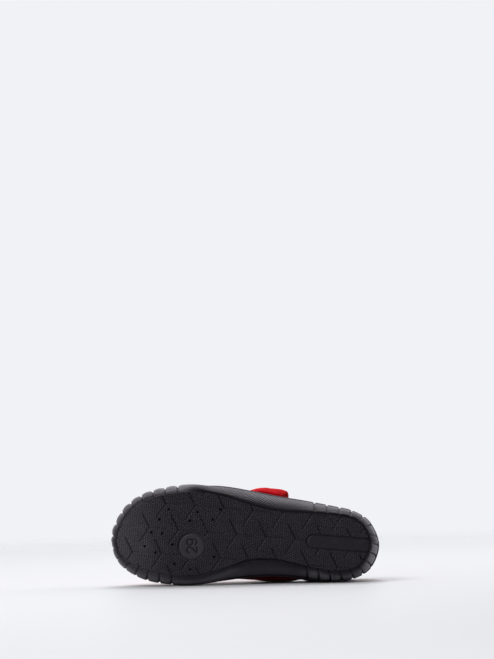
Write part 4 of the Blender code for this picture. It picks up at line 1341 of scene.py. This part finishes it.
def add_patch(name, node, slot, place, lift, finish):
    """One half of the hook-and-loop closure, on the lateral side."""
    rows, columns = PATCH_GRID
    along = np.linspace(place["front"], place["back"], rows)
    round_foot = np.linspace(place["high"], place["low"], columns)
    stations, girths = np.meshgrid(along, round_foot, indexing="ij")
    drop = edge_drop(PATCH_GRID, PATCH_PITCH, PATCH_ROUNDING)
    outer = lifted(stations, girths, lift + PATCH_THICKNESS - drop)
    patch = add_slab(name, outer, lifted(stations, girths, lift + drop), [finish])
    return dress(patch, slot, node)


def stitches(path, normals):
    """Points and faces of a row of stitches along a path, each a short twisted lump that dips at its ends."""
    arc = arc_lengths(path)
    points, faces = [], []

    def at(values, place):
        return np.stack([np.interp(place, arc, values[:, k]) for k in range(3)], axis=-1)

    for middle in np.arange(STITCH_PITCH / 2, arc[-1] - STITCH_PITCH / 2, STITCH_PITCH):
        centre, up = at(path, middle), at(normals, middle)
        run = at(path, middle + 0.5) - at(path, middle - 0.5)
        run /= np.linalg.norm(run)
        beside = np.cross(up, run)
        beside /= np.linalg.norm(beside)
        up = np.cross(run, beside)
        first = len(points)
        for along, fat, dip in STITCH_RINGS:
            for k in range(STITCH_SIDES):
                a = 2 * math.pi * k / STITCH_SIDES
                off = beside * math.cos(a) + up * (math.sin(a) * STITCH_FLAT + dip)
                points.append(centre + run * along * STITCH_LENGTH + off * fat * STITCH_RADIUS)
        ring_index = first + np.arange(len(STITCH_RINGS) * STITCH_SIDES).reshape(-1, STITCH_SIDES)
        faces += grid_faces(ring_index, True) + [ring_index[0].tolist(), ring_index[-1, ::-1].tolist()]
    return points, faces


def add_stitching(name, slot, rows):
    """One mesh of several rows of stitches, each given as stations, girths and lifts on the last."""
    points, faces = [], []
    for station, girth, lift in rows:
        row_points, row_faces = stitches(lifted(station, girth, lift), face_normal(station, girth))
        faces += [[k + len(points) for k in face] for face in row_faces]
        points += row_points
    return dress(add_mesh(name, points, faces, [sewing_thread()]), slot)


def upper_stitch_rows():
    """Rows beside the side seams and below the opening's edge."""
    rows = []
    for side in (1, -1):
        for offset in SEAM_ROW_OFFSETS:
            girths = np.linspace(opening_girth(SEAM_TOP, side) + SEAM_ROW_FROM, SEAM_ROW_TO, SEAM_ROW_POINTS)
            stations = seam_station(girths) + offset
            rows.append((stations, side * girths, crease_lift(stations, side * girths) + ROW_RISE))
        stations = np.linspace(THROAT_FRONT + EDGE_ROW_FROM, LAST_STATION, EDGE_ROW_POINTS)
        girths = np.array([edge_row_girth(station, side) for station in stations])
        collar = smooth_step((stations - COLLAR_FROM_STATION) / COLLAR_OVER_STATIONS)
        rise = ROW_RISE + COLLAR_ROW_RISE * collar
        rows.append((stations, side * girths, crease_lift(stations, side * girths) + rise))
    return rows


def edge_row_girth(station, side):
    """Girth a few mm below the opening's edge."""
    edge = opening_girth(station, side)
    girths = np.linspace(edge, 1.0, CURVE_SAMPLES)
    run = last_face(np.full(girths.shape, station), side * girths)
    return float(np.interp(EDGE_ROW_BELOW, arc_lengths(run), girths))


def strap_stitch_rows():
    """A row along each edge of the strap, one across its free end, and a box on its sewn end."""
    box_from, box_to = STRAP_MEDIAL_GIRTH + STRAP_BOX_FROM, STRAP_MEDIAL_GIRTH + STRAP_BOX_TO
    end_row = STRAP_LATERAL_GIRTH - STRAP_END_ROW
    girths = np.linspace(box_from, end_row, STRAP_ROW_POINTS)
    rows = []
    for edge in (-1, 1):
        stations = STRAP_STATION + edge * STRAP_SEAM_INSET * strap_half(girths)
        rows.append((stations, girths, strap_top(girths, edge * STRAP_SEAM_INSET) - STRAP_ROW_SINK))
    sideways = np.linspace(-STRAP_SEAM_INSET, STRAP_SEAM_INSET, ACROSS_ROW_POINTS)
    for girth in (end_row, box_from, box_to):
        spread = np.full(sideways.shape, girth)
        stations = STRAP_STATION + strap_half(girth) * sideways
        rows.append((stations, spread, strap_top(spread, sideways) + ACROSS_ROW_RISE))
    return rows


def pale_floor():
    """Plain pale floor whose far edge melts into the background."""
    bpy.ops.mesh.primitive_circle_add(vertices=128, radius=FLOOR_RADIUS, fill_type="NGON")
    floor = bpy.context.object
    floor.name = "floor"
    finish = Finish("pale_floor", Base_Color=FLOOR_COLOUR, Roughness=0.5, Specular_IOR_Level=0.3)
    far = finish.node("ShaderNodeVectorMath", {"operation": "LENGTH"}, {0: finish.place}, "Value")
    clear = finish.node("ShaderNodeBsdfTransparent", {}, {})
    solid = Tone(finish, finish.shader.outputs[0])
    mixed = finish.node("ShaderNodeMixShader", {}, {0: far.over(*FLOOR_FADE), 1: solid, 2: clear})
    finish.feed(finish.tree.nodes["Material Output"].inputs["Surface"], mixed)
    floor.data.materials.append(finish.material)


def studio_light():
    """Soft surround, bright above and behind and dim at the viewer's side, with the soft boxes."""
    world = bpy.data.worlds.new("studio")
    bpy.context.scene.world = world
    world.use_nodes = True
    works = Workings(world.node_tree)
    works.tree.nodes.clear()
    place = works.node("ShaderNodeTexCoord", {}, {}, "Generated")
    sockets = {0: place, 1: SURROUND_TOWARDS}
    toward = works.node("ShaderNodeVectorMath", {"operation": "DOT_PRODUCT"}, sockets, "Value")
    sockets = {"Value": toward, **SURROUND_RISE}
    rise = works.node("ShaderNodeMapRange", {"interpolation_type": "SMOOTHSTEP"}, sockets)
    lights = works.node("ShaderNodeBackground", {}, {"Color": SURROUND_COLOUR, "Strength": rise})
    seen = works.node("ShaderNodeBackground", {}, {"Color": BACKDROP_COLOUR})
    to_camera = works.node("ShaderNodeLightPath", {}, {}, "Is Camera Ray")
    mixed = works.node("ShaderNodeMixShader", {}, {0: to_camera, 1: lights, 2: seen})
    works.feed(works.tree.nodes.new("ShaderNodeOutputWorld").inputs["Surface"], mixed)
    for name, (spot, size, power) in SOFT_BOXES.items():
        add_area(name, spot, size, power)


def add_area(name, place, size, power):
    lamp = bpy.data.lights.new(name, "AREA")
    lamp.shape = "DISK"
    lamp.size = size
    lamp.energy = power
    light = bpy.data.objects.new(name, lamp)
    bpy.context.collection.objects.link(light)
    light.location = place
    light.rotation_euler = (-Vector(place)).to_track_quat("-Z", "Y").to_euler()


def add_camera(middle):
    """Camera at the picture's angle to the shoe, aimed so that the shoe's middle shows at its pixel."""
    lens = bpy.data.cameras.new("camera")
    lens.sensor_fit = "VERTICAL"
    lens.sensor_height = SENSOR
    lens.lens = LENS
    camera = bpy.data.objects.new("camera", lens)
    bpy.context.collection.objects.link(camera)
    focal = LENS / SENSOR * FRAME_HEIGHT
    elevation = math.radians(CAMERA_ELEVATION)
    roll = math.radians(CAMERA_ROLL)
    right = SHOE_MIDDLE_PIXEL[0] - FRAME_WIDTH / 2
    down = SHOE_MIDDLE_PIXEL[1] - FRAME_HEIGHT / 2
    sideways = right * math.cos(roll) + down * math.sin(roll)
    below = down * math.cos(roll) - right * math.sin(roll)
    turn = Matrix.Rotation(math.atan2(sideways, focal), 3, "Z")
    pitch = Matrix.Rotation(math.pi / 2 - elevation + math.atan2(below, focal), 3, "X")
    facing = turn @ pitch @ Matrix.Rotation(roll, 3, "Z")
    back = Vector((0.0, -math.cos(elevation), math.sin(elevation)))
    camera.matrix_world = Matrix.Translation(middle + back * CAMERA_DISTANCE) @ facing.to_4x4()
    bpy.context.scene.camera = camera


def main():
    middle = (Vector(cad_box[0]) + Vector(cad_box[1])) / 2
    add_camera(middle)
    add_outsole()
    add_insole()
    add_upper()
    add_tongue()
    add_strap()
    add_patch("loop_tape", "loop_patch", "loop_tape", LOOP_PATCH, LOOP_LIFT, closure_tape("loop_pile"))
    add_patch("hook_tape", "hook_patch", "hook_tape", HOOK_PATCH, HOOK_LIFT, closure_tape("hook_rows"))
    add_stitching("upper_stitching", "upper_felt", upper_stitch_rows())
    add_stitching("strap_stitching", "strap_felt", strap_stitch_rows())
    pale_floor()
    studio_light()
    bpy.context.scene.view_settings.view_transform = "Standard"


main()
